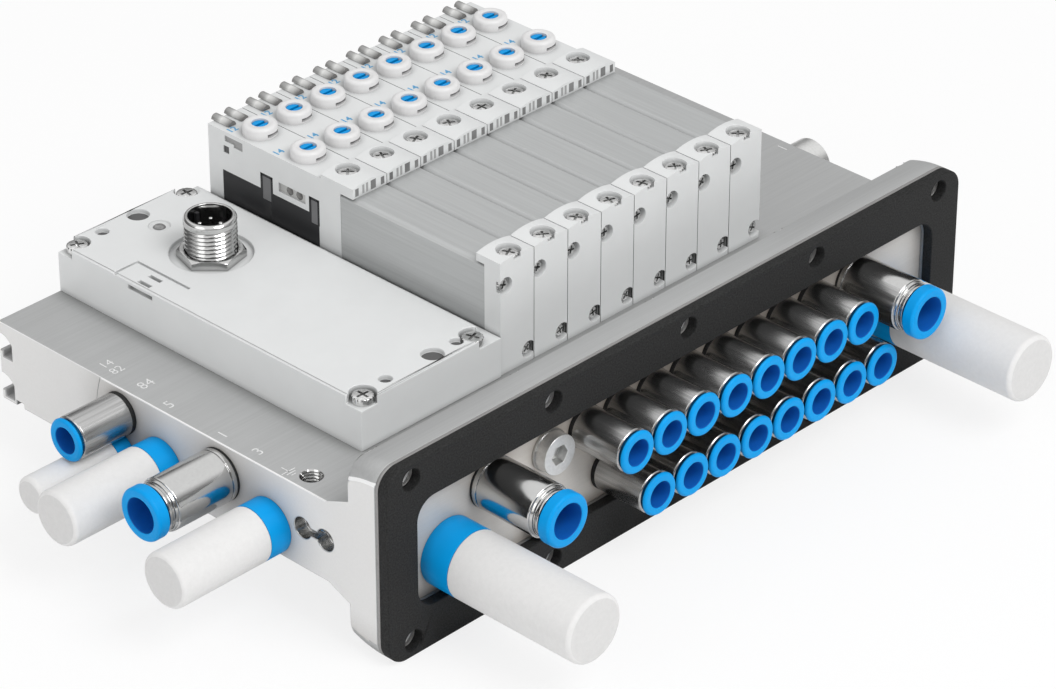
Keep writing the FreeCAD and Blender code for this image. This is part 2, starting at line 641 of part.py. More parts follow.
def frame_plate(label, front, thickness):
    """Flat frame with rounded corners, a window and the bolt holes: gasket and carrier sheet."""
    body = new_body(label)
    plane = "-(%s)" % front

    def rounded(sketch, length, height, radius):
        low_x, high_x = "-%s / 2" % length, "%s / 2" % length
        low_z, high_z = "-%s / 2" % height, "%s / 2" % height
        add_loop(sketch, [
            ("%s + %s" % (low_x, radius), low_z), ("%s - %s" % (high_x, radius), low_z, radius),
            (high_x, "%s + %s" % (low_z, radius)), (high_x, "%s - %s" % (high_z, radius), radius),
            ("%s - %s" % (high_x, radius), high_z), ("%s + %s" % (low_x, radius), high_z, radius),
            (low_x, "%s - %s" % (high_z, radius)), (low_x, "%s + %s" % (low_z, radius), radius),
        ])

    outer = new_sketch(body, label + "_outline", "XZ_Plane", plane)
    rounded(outer, "flange_length", "flange_height", "corner_radius")
    pad(body, outer, thickness, True)
    window = new_sketch(body, label + "_window", "XZ_Plane", plane)
    rounded(window, WINDOW_LENGTH, WINDOW_HEIGHT, "window_corner")
    pocket(body, window, thickness)
    bolts = new_sketch(body, label + "_bolt_holes", "XZ_Plane", plane)
    bolt_row(bolts)
    repeat(body, pocket(body, bolts, thickness), "X_Axis", BOLT_PITCH, BOLTS)
    return body


def fitting_places(kind):
    """Name, place and direction of every fitting of a kind."""
    if kind == "large":
        return [
            ("front_left", FRONT_LARGE[0][0], FLANGE_FRONT, FRONT_LARGE[0][1], OUT_OF_FRONT),
            ("front_right", FRONT_LARGE[1][0], FLANGE_FRONT, FRONT_LARGE[1][1], OUT_OF_FRONT),
            ("end_large", LEFT_END, SUPPLY[0], SUPPLY[1], OUT_OF_LEFT),
        ]
    places = []
    for row, first, height in (("upper", UPPER_FIRST, "upper_row"), ("lower", LOWER_FIRST, "lower_row")):
        for place in range(VALVES):
            x = "%s + %s * %d" % (first, PITCH, place)
            places.append(("%s_%d" % (row, place + 1), x, FLANGE_FRONT, height, OUT_OF_FRONT))
    places.append(("end_small", LEFT_END, PILOT_PORT[0], PILOT_PORT[1], OUT_OF_LEFT))
    return places


def small_fitting():
    bore = "%s / 2 + sleeve_clearance" % SMALL_SLEEVE
    stop = "%s - small_reach - 2 * ring_gap" % SMALL_FACE
    edge = "sleeve_wall / 2"
    return turned("small_fitting", [
        ("0", "-stub_depth"), ("small_stub / 2", "-stub_depth"), ("small_stub / 2", "small_seal"),
        (SMALL_RADIUS, "small_seal"), (SMALL_RADIUS, "%s - %s" % (SMALL_FACE, edge)),
        ("%s - %s" % (SMALL_RADIUS, edge), SMALL_FACE), (bore, SMALL_FACE), (bore, stop), ("0", stop),
    ])


def large_fitting():
    bore = "%s / 2 + sleeve_clearance" % LARGE_SLEEVE
    stop = "%s - large_reach - 2 * ring_gap" % LARGE_FACE
    step = "(%s - large_barrel) / 3" % LARGE_FACE
    return turned("large_fitting", [
        ("0", "-stub_depth"), ("large_stub / 2", "-stub_depth"), ("large_stub / 2", "large_seal"),
        ("large_body / 2", "large_seal"), ("large_body / 2", "large_seal + base_rim"),
        ("large_body / 2 - base_groove", "large_seal + base_rim"),
        ("large_body / 2 - base_groove", "large_seal + base_rim + base_groove"),
        ("large_body / 2", "large_seal + base_rim + base_groove"),
        ("large_body / 2", "large_barrel - base_groove"), ("large_body / 2 - base_groove", "large_barrel"),
        ("large_neck / 2", "large_barrel"), ("large_neck / 2", "large_barrel + " + step),
        ("large_groove / 2", "large_barrel + " + step),
        ("large_groove / 2", "large_barrel + 2 * " + step),
        ("large_band / 2", "large_barrel + 2 * " + step),
        ("large_band / 2", LARGE_FACE), (bore, LARGE_FACE), (bore, stop), ("0", stop),
    ])


def seal_ring(size):
    """Flat ring of rubber between a fitting and the flange."""
    outer = {"small": SMALL_RADIUS, "large": "large_body / 2"}[size]
    inner, height = "%s_stub / 2 + fit_clearance" % size, size + "_seal"
    return turned(size + "_seal_ring", [(inner, "0"), (outer, "0"), (outer, height), (inner, height)])


def release_ring(label, size):
    """Ring that is pressed against the fitting to let a tube go: rim outside, sleeve inside."""
    outer = {"small": SMALL_RADIUS, "large": "large_body / 2"}[size]
    face = {"small": SMALL_FACE, "large": LARGE_FACE}[size]
    sleeve = {"small": SMALL_SLEEVE, "large": LARGE_SLEEVE}[size] + " / 2"
    tube, end, low = size + "_tube / 2", size + "_length", face + " + ring_gap"
    edge = "small_flange / 2"
    return turned(label, [
        (tube, "%s - %s_reach" % (face, size)), (sleeve, "%s - %s_reach" % (face, size)), (sleeve, low),
        (outer, low), (outer, "%s - %s" % (end, edge)), ("%s - %s" % (outer, edge), end), (tube, end),
    ])


def silencer(size):
    """Blue threaded collar and the porous body pressed into it, round the local Z axis."""
    outer, length, collar = size + "_silencer_body / 2", size + "_silencer_length", size + "_silencer_collar"
    stub = {"pilot": "small_stub", "end": "large_stub", "front": "large_stub"}[size] + " / 2"
    inner = outer + " - silencer_wall"
    foot = "silencer_floor"
    cup = turned(size + "_collar", [
        ("0", "-stub_depth"), (stub, "-stub_depth"), (stub, "0"), (outer, "0"),
        (outer, collar), (inner, collar), (inner, foot), ("0", foot),
    ])
    core = inner + " - fit_clearance"
    plug = turned(size + "_porous_body", [
        ("0", foot), (core, foot), (core, collar), (outer, collar),
        (outer, length + " - silencer_round", "silencer_round"), (outer + " - silencer_round", length),
        ("0", length),
    ])
    return cup, plug


def hexagon(sketch, flats):
    """Regular hexagon round the sketch's origin, points to left and right."""
    half, reach = "%s / 2" % flats, "%s / sqrt(3)" % flats
    add_loop(sketch, [
        (reach, "0"), ("%s / 2" % reach, half), ("-%s / 2" % reach, half),
        ("-%s" % reach, "0"), ("-%s / 2" % reach, "-%s" % half), ("%s / 2" % reach, "-%s" % half),
    ])


def port_plug(label, head, proud, stub):
    """Plug with a hexagon socket; a proud one has a head on a thin collar, a sunk one has none."""
    if proud is None:
        body = turned(label, [
            ("0", "-flush_plug_depth"), (stub, "-flush_plug_depth"),
            (stub, "0"), ("0", "0"),
        ])
        top = "0"
    else:
        body = turned(label, [
            ("0", "-stub_depth"), (stub, "-stub_depth"), (stub, "0"), (head + " / 2", "0"),
            (head + " / 2", "plug_foot"), (head + " / 2 - base_groove", "plug_foot"),
            (head + " / 2 - base_groove", proud), ("0", proud),
        ])
        top = proud
    socket = new_sketch(body, label + "_socket", "XY_Plane", top)
    hexagon(socket, "plug_socket")
    pocket(body, socket, "plug_socket_depth")
    return body


def fittings():
    """Fitting bodies, their seals, the release rings, silencers and plugs."""
    masters = {"small": small_fitting(), "large": large_fitting()}
    seals = {"small": seal_ring("small"), "large": seal_ring("large")}
    bodies, rings, gaskets = [], [], []
    for size in ("small", "large"):
        for name, x, y, z, turn in fitting_places(size):
            bodies.append(linked("fitting_" + name, masters[size], x, y, z, turn))
            gaskets.append(linked("seal_" + name, seals[size], x, y, z, turn))
            rings.append(seat(release_ring("ring_" + name, size), x, y, z, turn))
    collars, porous = [], []
    places = {
        "front": [(x, FLANGE_FRONT, z, OUT_OF_FRONT) for x, z in FRONT_SILENCERS],
        "end": [(LEFT_END, y, z, OUT_OF_LEFT) for y, z in (REAR_EXHAUST, FRONT_EXHAUST)],
        "pilot": [(LEFT_END, PILOT_EXHAUST[0], PILOT_EXHAUST[1], OUT_OF_LEFT)],
    }
    for size, spots in places.items():
        cup, plug = silencer(size)
        for order, (x, y, z, turn) in enumerate(spots, start=1):
            collars.append(linked("%s_collar_%d" % (size, order), cup, x, y, z, turn))
            porous.append(linked("%s_body_%d" % (size, order), plug, x, y, z, turn))

    front_plug = port_plug("front_plug", "plug_head", "plug_proud", "small_stub / 2")
    supply_plug = port_plug("supply_plug", "large_body", "supply_plug_proud", "large_stub / 2")
    small_sunk = port_plug("small_sunk_plug", None, None, "small_stub / 2")
    large_sunk = port_plug("large_sunk_plug", None, None, "large_stub / 2")
    plugs = [linked("front_plug_%d" % order, front_plug, x, FLANGE_FRONT, z, OUT_OF_FRONT)
             for order, (x, z) in enumerate(FRONT_PLUGS, start=1)]
    for name, master, (station, height) in (
            ("supply", supply_plug, SUPPLY), ("pilot", small_sunk, PILOT_PORT),
            ("pilot_exhaust", small_sunk, PILOT_EXHAUST), ("rear_exhaust", large_sunk, REAR_EXHAUST),
            ("front_exhaust", large_sunk, FRONT_EXHAUST)):
        plugs.append(linked("right_plug_" + name, master, RIGHT_END, station, height, OUT_OF_RIGHT))
    return rings + [
        group("fitting_bodies", bodies), group("fitting_seals", gaskets),
        group("silencer_collars", collars), group("silencer_bodies", porous), group("port_plugs", plugs),
    ]


def post_outline(sketch, inset):
    """Inside of the housing: its outline set in by a wall, less a square screw post at each corner."""
    left, right = "%s + %s" % (BOX_LEFT, inset), "%s - %s" % (LID_RIGHT, inset)
    front, rear = "box_front + " + inset, "%s - %s" % (BOX_REAR, inset)
    post = "(box_screw_side + notch_side / 2)"
    inner_left, inner_right = "%s + %s" % (BOX_LEFT, post), "%s - %s" % (LID_RIGHT, post)
    inner_front, inner_rear = "box_front + " + post, "%s - %s" % (BOX_REAR, post)
    add_loop(sketch, [
        (inner_left, front), (inner_right, front), (inner_right, inner_front), (right, inner_front),
        (right, inner_rear), (inner_right, inner_rear), (inner_right, rear), (inner_left, rear),
        (inner_left, inner_rear), (left, inner_rear), (left, inner_front), (inner_left, inner_front),
    ])


def open_corners(body):
    """Corner recesses of the lid: a round one at each screw, open towards the corner."""
    plane = RAIL_TOP + " + box_height"
    depth = "box_height - notch_floor"
    rounds = new_sketch(body, "screw_recesses", "XY_Plane", plane)
    for x, y in BOX_SCREWS:
        add_circle(rounds, x, y, "notch_bore")
    pocket(body, rounds, depth)
    corners = new_sketch(body, "open_corners", "XY_Plane", plane)
    for x_low, x_high in ((BOX_LEFT + " - 1", BOX_LEFT + " + notch_side"),
                          (LID_RIGHT + " - box_screw_side", LID_RIGHT + " + 1")):
        add_slab(corners, x_low, x_high, "box_front - 1", "box_front + notch_side")
        add_slab(corners, x_low, x_high, BOX_REAR + " - notch_side", BOX_REAR + " + 1")
    pocket(body, corners, depth)


def interface_housing():
    """Moulded cover of the electrical interface, open underneath and screwed on at its corners."""
    body = new_body("interface_housing")
    foot = new_sketch(body, "housing_foot", "XY_Plane", RAIL_TOP)
    add_slab(foot, BOX_LEFT, BOX_RIGHT, "box_front", BOX_REAR)
    pad(body, foot, "notch_floor")
    rim = new_sketch(body, "housing_rim", "XY_Plane", RAIL_TOP + " + notch_floor")
    add_slab(rim, BOX_LEFT, LID_RIGHT, "box_front", BOX_REAR)
    pad(body, rim, "box_height - lid_rim_drop - notch_floor")
    lid = new_sketch(body, "housing_lid", "XY_Plane", RAIL_TOP + " + box_height - lid_rim_drop")
    add_slab(lid, BOX_LEFT + " + lid_rim", LID_RIGHT + " - lid_rim", "box_front + lid_rim",
             BOX_REAR + " - lid_rim")
    pad(body, lid, "lid_rim_drop")
    open_corners(body)

    board_bay = new_sketch(body, "board_bay", "XY_Plane", RAIL_TOP)
    post_outline(board_bay, "box_wall")
    pocket(body, board_bay, "board_height", True)
    hollow = new_sketch(body, "housing_hollow", "XY_Plane", RAIL_TOP)
    post_outline(hollow, "(box_wall + board_ledge)")
    pocket(body, hollow, LID_UNDER, True)

    top = RAIL_TOP + " + box_height"
    through = "box_height - %s + 1" % LID_UNDER
    for name, (x, y), diameter, depth in (
            ("connector_dish", CONNECTOR, "connector_dish", "connector_dish_depth"),
            ("connector_hole", CONNECTOR, "connector_thread + 2 * fit_clearance", through),
            ("lamp_dish", LAMP, "lamp_dish", "lamp_dish_depth"),
            ("lamp_hole", LAMP, "lamp_diameter + 2 * fit_clearance", through)):
        round_cut = new_sketch(body, name, "XY_Plane", top)
        add_circle(round_cut, x, y, diameter)
        pocket(body, round_cut, depth)

    line = CONNECTOR[0]
    front, rear = "box_front + lid_hole_inset", BOX_REAR + " - lid_hole_inset"
    blind = new_sketch(body, "lid_holes", "XY_Plane", top)
    for x, y, diameter in ((line, rear, "wide_lid_hole"),
                           (line + " - lid_hole_reach", rear, "narrow_lid_hole"),
                           (line + " - lid_hole_reach", front, "narrow_lid_hole"),
                           (line + " + lid_hole_reach", front, "narrow_lid_hole"),
                           (line + " + wide_hole_shift", front, "wide_lid_hole")):
        add_circle(blind, x, y, diameter)
    pocket(body, blind, "lid_hole_depth")

    tab_left, tab_right = BOX_LEFT + " - 1", BOX_LEFT + " + tab_reach"
    tab_rear = BOX_REAR + " - tab_inset"
    tab_middle = "(%s - tab_length / 2)" % tab_rear
    groove = new_sketch(body, "tab_groove", "XY_Plane", top)
    add_loop(groove, [
        (tab_left, tab_rear + " - tab_groove"),
        (tab_right + " - tab_groove", tab_rear + " - tab_groove"),
        (tab_right + " - tab_groove", tab_rear + " - tab_length"), (tab_right, tab_rear + " - tab_length"),
        (tab_right, tab_rear), (tab_left, tab_rear),
    ])
    pocket(body, groove, "tab_groove_depth")
    slots = new_sketch(body, "tab_slots", "XY_Plane", top)
    for inset in ("tab_slot_width", "tab_slot_width + tab_slot_gap"):
        slot = "%s + %s" % (BOX_LEFT, inset)
        add_slab(slots, slot, slot + " + tab_slot_width", tab_middle + " - tab_slot_length / 2",
                 tab_middle + " + tab_slot_length / 2")
    pocket(body, slots, "lid_hole_depth")
    side_slot = new_sketch(body, "side_slot", "YZ_Plane", BOX_LEFT)
    add_slab(side_slot, tab_middle + " - tab_slot_length", tab_middle + " + tab_slot_length",
             top + " - side_slot_drop - side_slot_height", top + " - side_slot_drop")
    pocket(body, side_slot, "lid_hole_depth", True)

    bores = new_sketch(body, "housing_screw_bores", "XY_Plane", RAIL_TOP + " + notch_floor")
    for x, y in BOX_SCREWS:
        add_circle(bores, x, y, "box_screw_shank + 2 * fit_clearance")
    pocket(body, bores, "notch_floor + 1")
    return body


def interface_parts():
    """Board, screws, round connector and lamp of the electrical interface."""
    board = new_body("control_board")
    sheet_plane = RAIL_TOP + " + board_height - board_thickness"
    plate = new_sketch(board, "board_plate", "XY_Plane", sheet_plane)
    post_outline(plate, "(box_wall + 2 * fit_clearance)")
    pad(board, plate, "board_thickness")
    relays = new_sketch(board, "board_relays", "XY_Plane", RAIL_TOP + " + board_height")
    for station in ("box_front + box_depth / 5", "box_front + box_depth / 2 - relay_side / 2"):
        add_slab(relays, CONNECTOR[0] + " - relay_side", CONNECTOR[0] + " + relay_side",
                 station, station + " + relay_side")
    pad(board, relays, "relay_height")

    shank = "box_screw_shank / 2"
    screw = turned("interface_screw", [
        ("0", "-notch_floor - box_screw_bite"), (shank, "-notch_floor - box_screw_bite"), (shank, "0"),
        ("box_screw_head / 2", "0"), ("box_screw_head / 2", "box_screw_head_height - screw_sunk"),
        ("box_screw_head / 2 - screw_sunk", "box_screw_head_height"), ("0", "box_screw_head_height"),
    ])
    screws = group("interface_screws", [
        linked("interface_screw_%d" % order, screw, x, y, RAIL_TOP + " + notch_floor")
        for order, (x, y) in enumerate(BOX_SCREWS, start=1)])

    here = CONNECTOR + (RAIL_TOP,)
    rim = "(box_height + connector_rise)"
    nut_top = "box_height - connector_dish_depth + nut_height"
    collar_low = LID_UNDER + " - connector_collar_thickness"
    shell = seat(turned("connector_shell", [
        ("connector_bore / 2", collar_low), ("connector_collar / 2", collar_low),
        ("connector_collar / 2", LID_UNDER), ("connector_thread / 2", LID_UNDER),
        ("connector_thread / 2", nut_top), ("connector_thread / 2 - connector_relief / 2", nut_top),
        ("connector_thread / 2 - connector_relief / 2", nut_top + " + connector_relief"),
        ("connector_thread / 2", nut_top + " + connector_relief"),
        ("connector_thread / 2", rim + " - connector_relief"),
        ("connector_thread / 2 - connector_relief", rim), ("connector_bore / 2", rim),
    ]), *here)
    floor = rim + " - insert_depth"
    core = bar("insert_core", "connector_bore - 2 * fit_clearance",
               "%s - (%s)" % (floor, collar_low), collar_low)
    contacts = []
    for order, (x, y) in enumerate(((1, 1), (-1, 1), (-1, -1), (1, -1)), start=1):
        contact = bar("contact_%d" % order, "contact_diameter", "contact_height + board_thickness",
                      floor + " - board_thickness")
        bind(contact, "Placement.Base.x", "%d * contact_circle / (2 * sqrt(2))" % x)
        bind(contact, "Placement.Base.y", "%d * contact_circle / (2 * sqrt(2))" % y)
        contacts.append(contact)
    insert = seat(fuse("connector_insert", [core] + contacts), *here)

    nut = new_body("connector_nut")
    hexagonal = new_sketch(nut, "nut_outline", "XY_Plane", "box_height - connector_dish_depth")
    hexagon(hexagonal, "nut_flats")
    pad(nut, hexagonal, "nut_height")
    bore = new_sketch(nut, "nut_bore", "XY_Plane", "box_height - connector_dish_depth")
    add_circle(bore, "0", "0", "connector_thread + 2 * fit_clearance")
    pocket(nut, bore, "nut_height", True)
    seat(nut, *here)

    lamp_top = "box_height - lamp_dish_depth + lamp_rise"
    lamp = seat(turned("status_led", [
        ("0", LID_UNDER), ("lamp_diameter / 2", LID_UNDER), ("lamp_diameter / 2", lamp_top + " - lamp_rise"),
        ("lamp_diameter / 4", lamp_top), ("0", lamp_top),
    ]), *LAMP, RAIL_TOP)
    return [interface_housing(), board, screws, shell, insert, nut, lamp]


def crown_cut(body, name, station, top, length):
    """Trim a flat top to a shallow arc across the valve, from a station towards the rear."""
    sketch = new_sketch(body, name, "XZ_Plane", "-(%s)" % station)
    low = "%s - crown" % top
    side = HALF_VALVE + " + 1"
    add_loop(sketch, [
        ("-(%s)" % side, low), ("-" + HALF_VALVE, low, "-" + CROWN_RADIUS), (HALF_VALVE, low), (side, low),
        (side, top + " + 2"), ("-(%s)" % side, top + " + 2"),
    ])
    pocket(body, sketch, length)


def side_profile(body, name, points):
    """Extrude a side view of the valve across the valve's width."""
    sketch = new_sketch(body, name, "YZ_Plane", "-" + HALF_VALVE)
    add_loop(sketch, points)
    pad(body, sketch, VALVE_WIDTH)


def sunk_screw(body, name, role, plane, surface, x, y, head):
    """Recess and thread bore for a sunk screw, cut from one unit in front of the surface."""
    recess = new_sketch(body, name + "_recess", role, plane)
    add_circle(recess, x, y, head + " + 2 * recess_margin")
    pocket(body, recess, surface + " + screw_sunk + screw_head_height")
    bore = new_sketch(body, name + "_bore", role, plane)
    add_circle(bore, x, y, "screw_shank + 2 * fit_clearance")
    pocket(body, bore, surface + " + screw_sunk + screw_head_height + screw_bite + fit_clearance")


def end_cover():
    """Front cover of a valve: crowned, with a lip over the metal body and three sunk screws."""
    body = new_body("end_cover_one")
    side_profile(body, "cover_side", [
        ("cover_front", "0"), ("metal_front", "0"), ("metal_front", "metal_top"), ("cover_lip", "metal_top"),
        ("cover_lip", "cover_top + 1"), ("cover_front", "cover_top + 1"),
    ])
    crown_cut(body, "cover_crown", "cover_front - 1", "cover_top", "cover_lip - cover_front + 2")
    sunk_screw(body, "cover_top_screw", "XY_Plane", "cover_top", "0",
               "0", "cover_front + cover_screw_inset", "large_screw_head")
    sunk_screw(body, "cover_side_screw", "XZ_Plane", "-cover_front", "0",
               "side_screw_inset - " + HALF_VALVE, "cover_top - side_screw_drop", "small_screw_head")
    sunk_screw(body, "cover_foot_screw", "XZ_Plane", "-cover_front", "0",
               HALF_VALVE + " - side_screw_inset", "foot_screw_height", "small_screw_head")
    return body


def metal_body():
    """Spool housing: a flat aluminium section with bevelled upper edges."""
    body = new_body("valve_body_one")
    section = new_sketch(body, "metal_section", "XZ_Plane", "-metal_front")
    left, right = "-" + HALF_VALVE, HALF_VALVE
    add_loop(section, [
        (left, "seal_height"), (right, "seal_height"), (right, "metal_top - shoulder_drop / 2"),
        (right + " - shoulder_drop / 2", "metal_top"), (left + " + shoulder_width", "metal_top"),
        (left, "metal_top - shoulder_drop"),
    ])
    pad(body, section, "metal_rear - metal_front", True)
    return body


def pilot_housing():
    """Moulded pilot head: vented front block, roof over the solenoids and rear wall."""
    body = new_body("pilot_housing_one")
    side_profile(body, "pilot_side", [
        ("metal_rear", "0"), ("coil_front", "0"), ("coil_front", "coil_top"), ("coil_rear", "coil_top"),
        ("coil_rear", "0"), ("pilot_rear", "0"), ("pilot_rear", "pilot_top"), ("block_rear", "pilot_top"),
        ("block_rear", "block_top + 1"), ("vent_front", "block_top + 1"), ("vent_front", "metal_top"),
        ("metal_rear", "metal_top"),
    ])
    crown_cut(body, "block_crown", "vent_front - 1", "block_top", "block_rear - vent_front + 2")

    vents = new_sketch(body, "vent_slots", "XZ_Plane", "-vent_front")
    for low, high in VENTS:
        add_slab(vents, "%g * %s" % (low, VALVE_WIDTH), "%g * %s" % (high, VALVE_WIDTH),
                 "metal_top + vent_margin", "block_top - crown - vent_margin")
    pocket(body, vents, "vent_depth")
    sunk_screw(body, "block_screw", "XY_Plane", "block_top", "0", "0",
               "block_screw_station", "large_screw_head")

    wells = new_sketch(body, "plunger_wells", "XY_Plane", "pilot_top")
    for station in ("front_override", "rear_override"):
        add_circle(wells, "0", station, "plunger_diameter + 2 * plunger_clearance")
    pocket(body, wells, "plunger_length + plunger_sunk - cap_height + plunger_room")

    windows = new_sketch(body, "side_windows", "YZ_Plane", "-" + HALF_VALVE)
    add_slab(windows, "window_front", "window_rear", "window_low", "window_high")
    catch_rear, catch_top = "coil_rear - 2 * catch_gap", "pilot_top - catch_drop"
    add_loop(windows, [
        (catch_rear + " - catch_length", catch_top),
        (catch_rear + " - catch_length", catch_top + " - catch_low"),
        (catch_rear + " - catch_length / 2", catch_top + " - catch_low"),
        (catch_rear + " - catch_length / 2", catch_top + " - catch_high"),
        (catch_rear, catch_top + " - catch_high"), (catch_rear, catch_top),
    ])
    hole_top = catch_top + " - catch_low - catch_gap"
    add_slab(windows, "coil_rear - catch_gap - catch_window", "coil_rear - catch_gap",
             hole_top + " - catch_window", hole_top)
    pocket(body, windows, "clip_recess", True)
    recesses = new_sketch(body, "clip_recesses", "YZ_Plane", "-" + HALF_VALVE)
    for low, width in (("clip_front", "clip_front_width"), ("clip_middle", "clip_middle_width")):
        add_slab(recesses, low, "%s + %s" % (low, width), "coil_top - 1", "clip_high")
    pocket(body, recesses, "clip_recess", True)
    return body


def solenoid(name, low, high, clips):
    """One solenoid block with the recesses that its clips lie in."""
    base = block(name + "_block", "-" + HALF_VALVE, HALF_VALVE, low, high, "0", "coil_top")
    tools = [
        block("%s_recess_%d" % (name, order), "-" + VALVE_WIDTH, "clip_recess - " + HALF_VALVE,
              clip_low, clip_high, "clip_low", "coil_top + 1")
        for order, (clip_low, clip_high) in enumerate(clips, start=1)]
    return cut(name, base, tools)


def valve_screw(name, head):
    """Screw with its head's top at the local origin."""
    low, end = "-screw_head_height", "-screw_head_height - screw_bite"
    return turned(name, [
        ("0", end), ("screw_shank / 2", end), ("screw_shank / 2", low), (head + " / 2", low),
        (head + " / 2", "0"), ("0", "0"),
    ])


def valves():
    """Everything that repeats with the valves, apart from the override plungers."""
    seal = block("seal_one", "-" + HALF_VALVE, HALF_VALVE, "metal_front", "metal_rear", "0", "seal_height")
    front_clip = ("clip_front", "clip_front + clip_front_width")
    middle_clip = ("clip_middle", "clip_middle + clip_middle_width")
    front_coil = solenoid("front_coil", "coil_front", "coil_middle", [front_clip, middle_clip])
    rear_coil = solenoid("rear_coil", "coil_middle", "coil_rear", [middle_clip])
    clips = [block("clip_%d" % order, "fit_clearance - " + HALF_VALVE, "clip_recess - " + HALF_VALVE,
                   low + " + fit_clearance", high + " - fit_clearance",
                   "clip_low", "clip_high - fit_clearance")
             for order, (low, high) in enumerate((front_clip, middle_clip), start=1)]

    inner = "plunger_diameter / 2 + plunger_clearance"
    cap = turned("override_cap_one", [
        (inner, "0"), ("cap_diameter / 2", "0"), ("cap_diameter / 2", "cap_height - cap_bevel"),
        ("cap_diameter / 2 - cap_bevel", "cap_height"), (inner, "cap_height"),
    ])
    caps = [linked("cap_%s" % name, cap, "0", station, "pilot_top")
            for name, station in (("front", "front_override"), ("rear", "rear_override"))]

    guides = []
    for name, place in (("left", "left_guide"), ("right", "right_guide")):
        guide = doc.addObject("Part::Cylinder", name + "_guide")
        bind(guide, "Radius", "guide_width / 2")
        bind(guide, "Height", "pilot_rear + guide_overhang - guide_front")
        guide.Angle = 180.0
        guides.append(seat(guide, place, "pilot_rear + guide_overhang", "pilot_top", OUT_OF_FRONT))

    big, little = valve_screw("top_screw", "large_screw_head"), valve_screw("front_screw", "small_screw_head")
    sunk_front = "cover_front + screw_sunk"
    screws = [
        linked("cover_screw", big, "0", "cover_front + cover_screw_inset", "cover_top - screw_sunk"),
        linked("block_screw", big, "0", "block_screw_station", "block_top - screw_sunk"),
        linked("side_screw", little, "side_screw_inset - " + HALF_VALVE, sunk_front,
               "cover_top - side_screw_drop", OUT_OF_FRONT),
        linked("foot_screw", little, HALF_VALVE + " - side_screw_inset", sunk_front,
               "foot_screw_height", OUT_OF_FRONT),
    ]
    return [
        per_valve("valve_seals", [seal]), per_valve("valve_bodies", [metal_body()]),
        per_valve("end_covers", [end_cover()]), per_valve("pilot_housings", [pilot_housing()]),
        per_valve("solenoid_blocks", [front_coil, rear_coil]), per_valve("coil_clips", clips),
        per_valve("override_caps", caps), per_valve("light_guides", guides),
        per_valve("valve_screws", screws),
    ]


def override_plungers():
    """Sixteen spring-loaded plungers, each with a screwdriver slot across its top."""
    plungers = []
    for row, station in (("rear", "rear_override"), ("front", "front_override")):
        for place in range(VALVES):
            label = "override_%s_%d" % (row, place + 1)
            base = bar(label + "_bar", "plunger_diameter", "plunger_length", "-plunger_length")
            slot = block(label + "_slot", "-plunger_diameter", "plunger_diameter",
                         "-plunger_slot / 2", "plunger_slot / 2", "-plunger_slot_depth", OVERRUN)
            piece = cut(label, base, [slot])
            seat(piece, valve_centre(place), station, RAIL_TOP + " + pilot_top + cap_height - plunger_sunk")
            plungers.append(piece)
    return plungers


nodes = [
    manifold_rail(),
    frame_plate("flange_gasket", "0", "gasket_thickness"),
    frame_plate("gasket_carrier", "gasket_thickness", "carrier_thickness"),
]
nodes += interface_parts()
nodes += valves()
nodes += override_plungers()
nodes += fittings()
doc.recompute()

failed = [thing.Name for thing in doc.Objects if {"Invalid", "Error"} & set(thing.State)]
if failed:
    raise RuntimeError("features that failed: " + ", ".join(failed))
for node in nodes:
    if node.Shape.isNull() or not node.Shape.isValid():
        raise RuntimeError("no valid shape in " + node.Label)

os.makedirs("parts", exist_ok=True)
for node in nodes:
    node.Shape.exportStep(os.path.join("parts", node.Label + ".step"))
print(len(nodes), "nodes written")
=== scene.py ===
import json
import math
import random

import bmesh
import bpy
from mathutils import Matrix, Vector

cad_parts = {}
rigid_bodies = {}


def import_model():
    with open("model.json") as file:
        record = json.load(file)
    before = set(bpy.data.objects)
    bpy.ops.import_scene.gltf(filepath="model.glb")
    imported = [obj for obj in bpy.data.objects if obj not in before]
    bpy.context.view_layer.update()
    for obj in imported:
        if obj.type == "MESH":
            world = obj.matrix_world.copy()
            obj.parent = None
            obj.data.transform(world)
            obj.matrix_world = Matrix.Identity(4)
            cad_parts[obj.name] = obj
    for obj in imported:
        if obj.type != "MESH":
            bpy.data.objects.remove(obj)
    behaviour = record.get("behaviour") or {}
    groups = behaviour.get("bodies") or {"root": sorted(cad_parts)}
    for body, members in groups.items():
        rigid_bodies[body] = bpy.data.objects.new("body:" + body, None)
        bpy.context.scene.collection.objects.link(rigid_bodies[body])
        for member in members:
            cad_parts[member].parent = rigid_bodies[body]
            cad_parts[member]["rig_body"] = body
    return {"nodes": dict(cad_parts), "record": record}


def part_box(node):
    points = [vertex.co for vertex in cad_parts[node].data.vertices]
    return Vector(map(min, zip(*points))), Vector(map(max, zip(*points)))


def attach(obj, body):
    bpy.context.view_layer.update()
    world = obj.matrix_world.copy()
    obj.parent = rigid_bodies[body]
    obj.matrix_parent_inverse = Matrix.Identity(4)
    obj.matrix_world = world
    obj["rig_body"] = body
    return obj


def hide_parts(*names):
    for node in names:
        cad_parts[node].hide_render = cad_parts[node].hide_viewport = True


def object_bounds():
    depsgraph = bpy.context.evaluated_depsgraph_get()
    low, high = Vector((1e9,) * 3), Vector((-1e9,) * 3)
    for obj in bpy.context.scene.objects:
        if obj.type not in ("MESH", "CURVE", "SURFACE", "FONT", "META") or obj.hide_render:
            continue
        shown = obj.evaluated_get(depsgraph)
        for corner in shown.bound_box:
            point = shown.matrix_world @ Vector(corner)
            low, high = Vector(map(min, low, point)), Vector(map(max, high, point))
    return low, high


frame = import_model()
cad_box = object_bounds()

MM = 0.001
VALVES = 8
MERGE = 2e-6  # points closer than this, in metres, are one point
ROUNDED_ANGLE = math.radians(30)  # sharper edges than this are rounded


# Materials

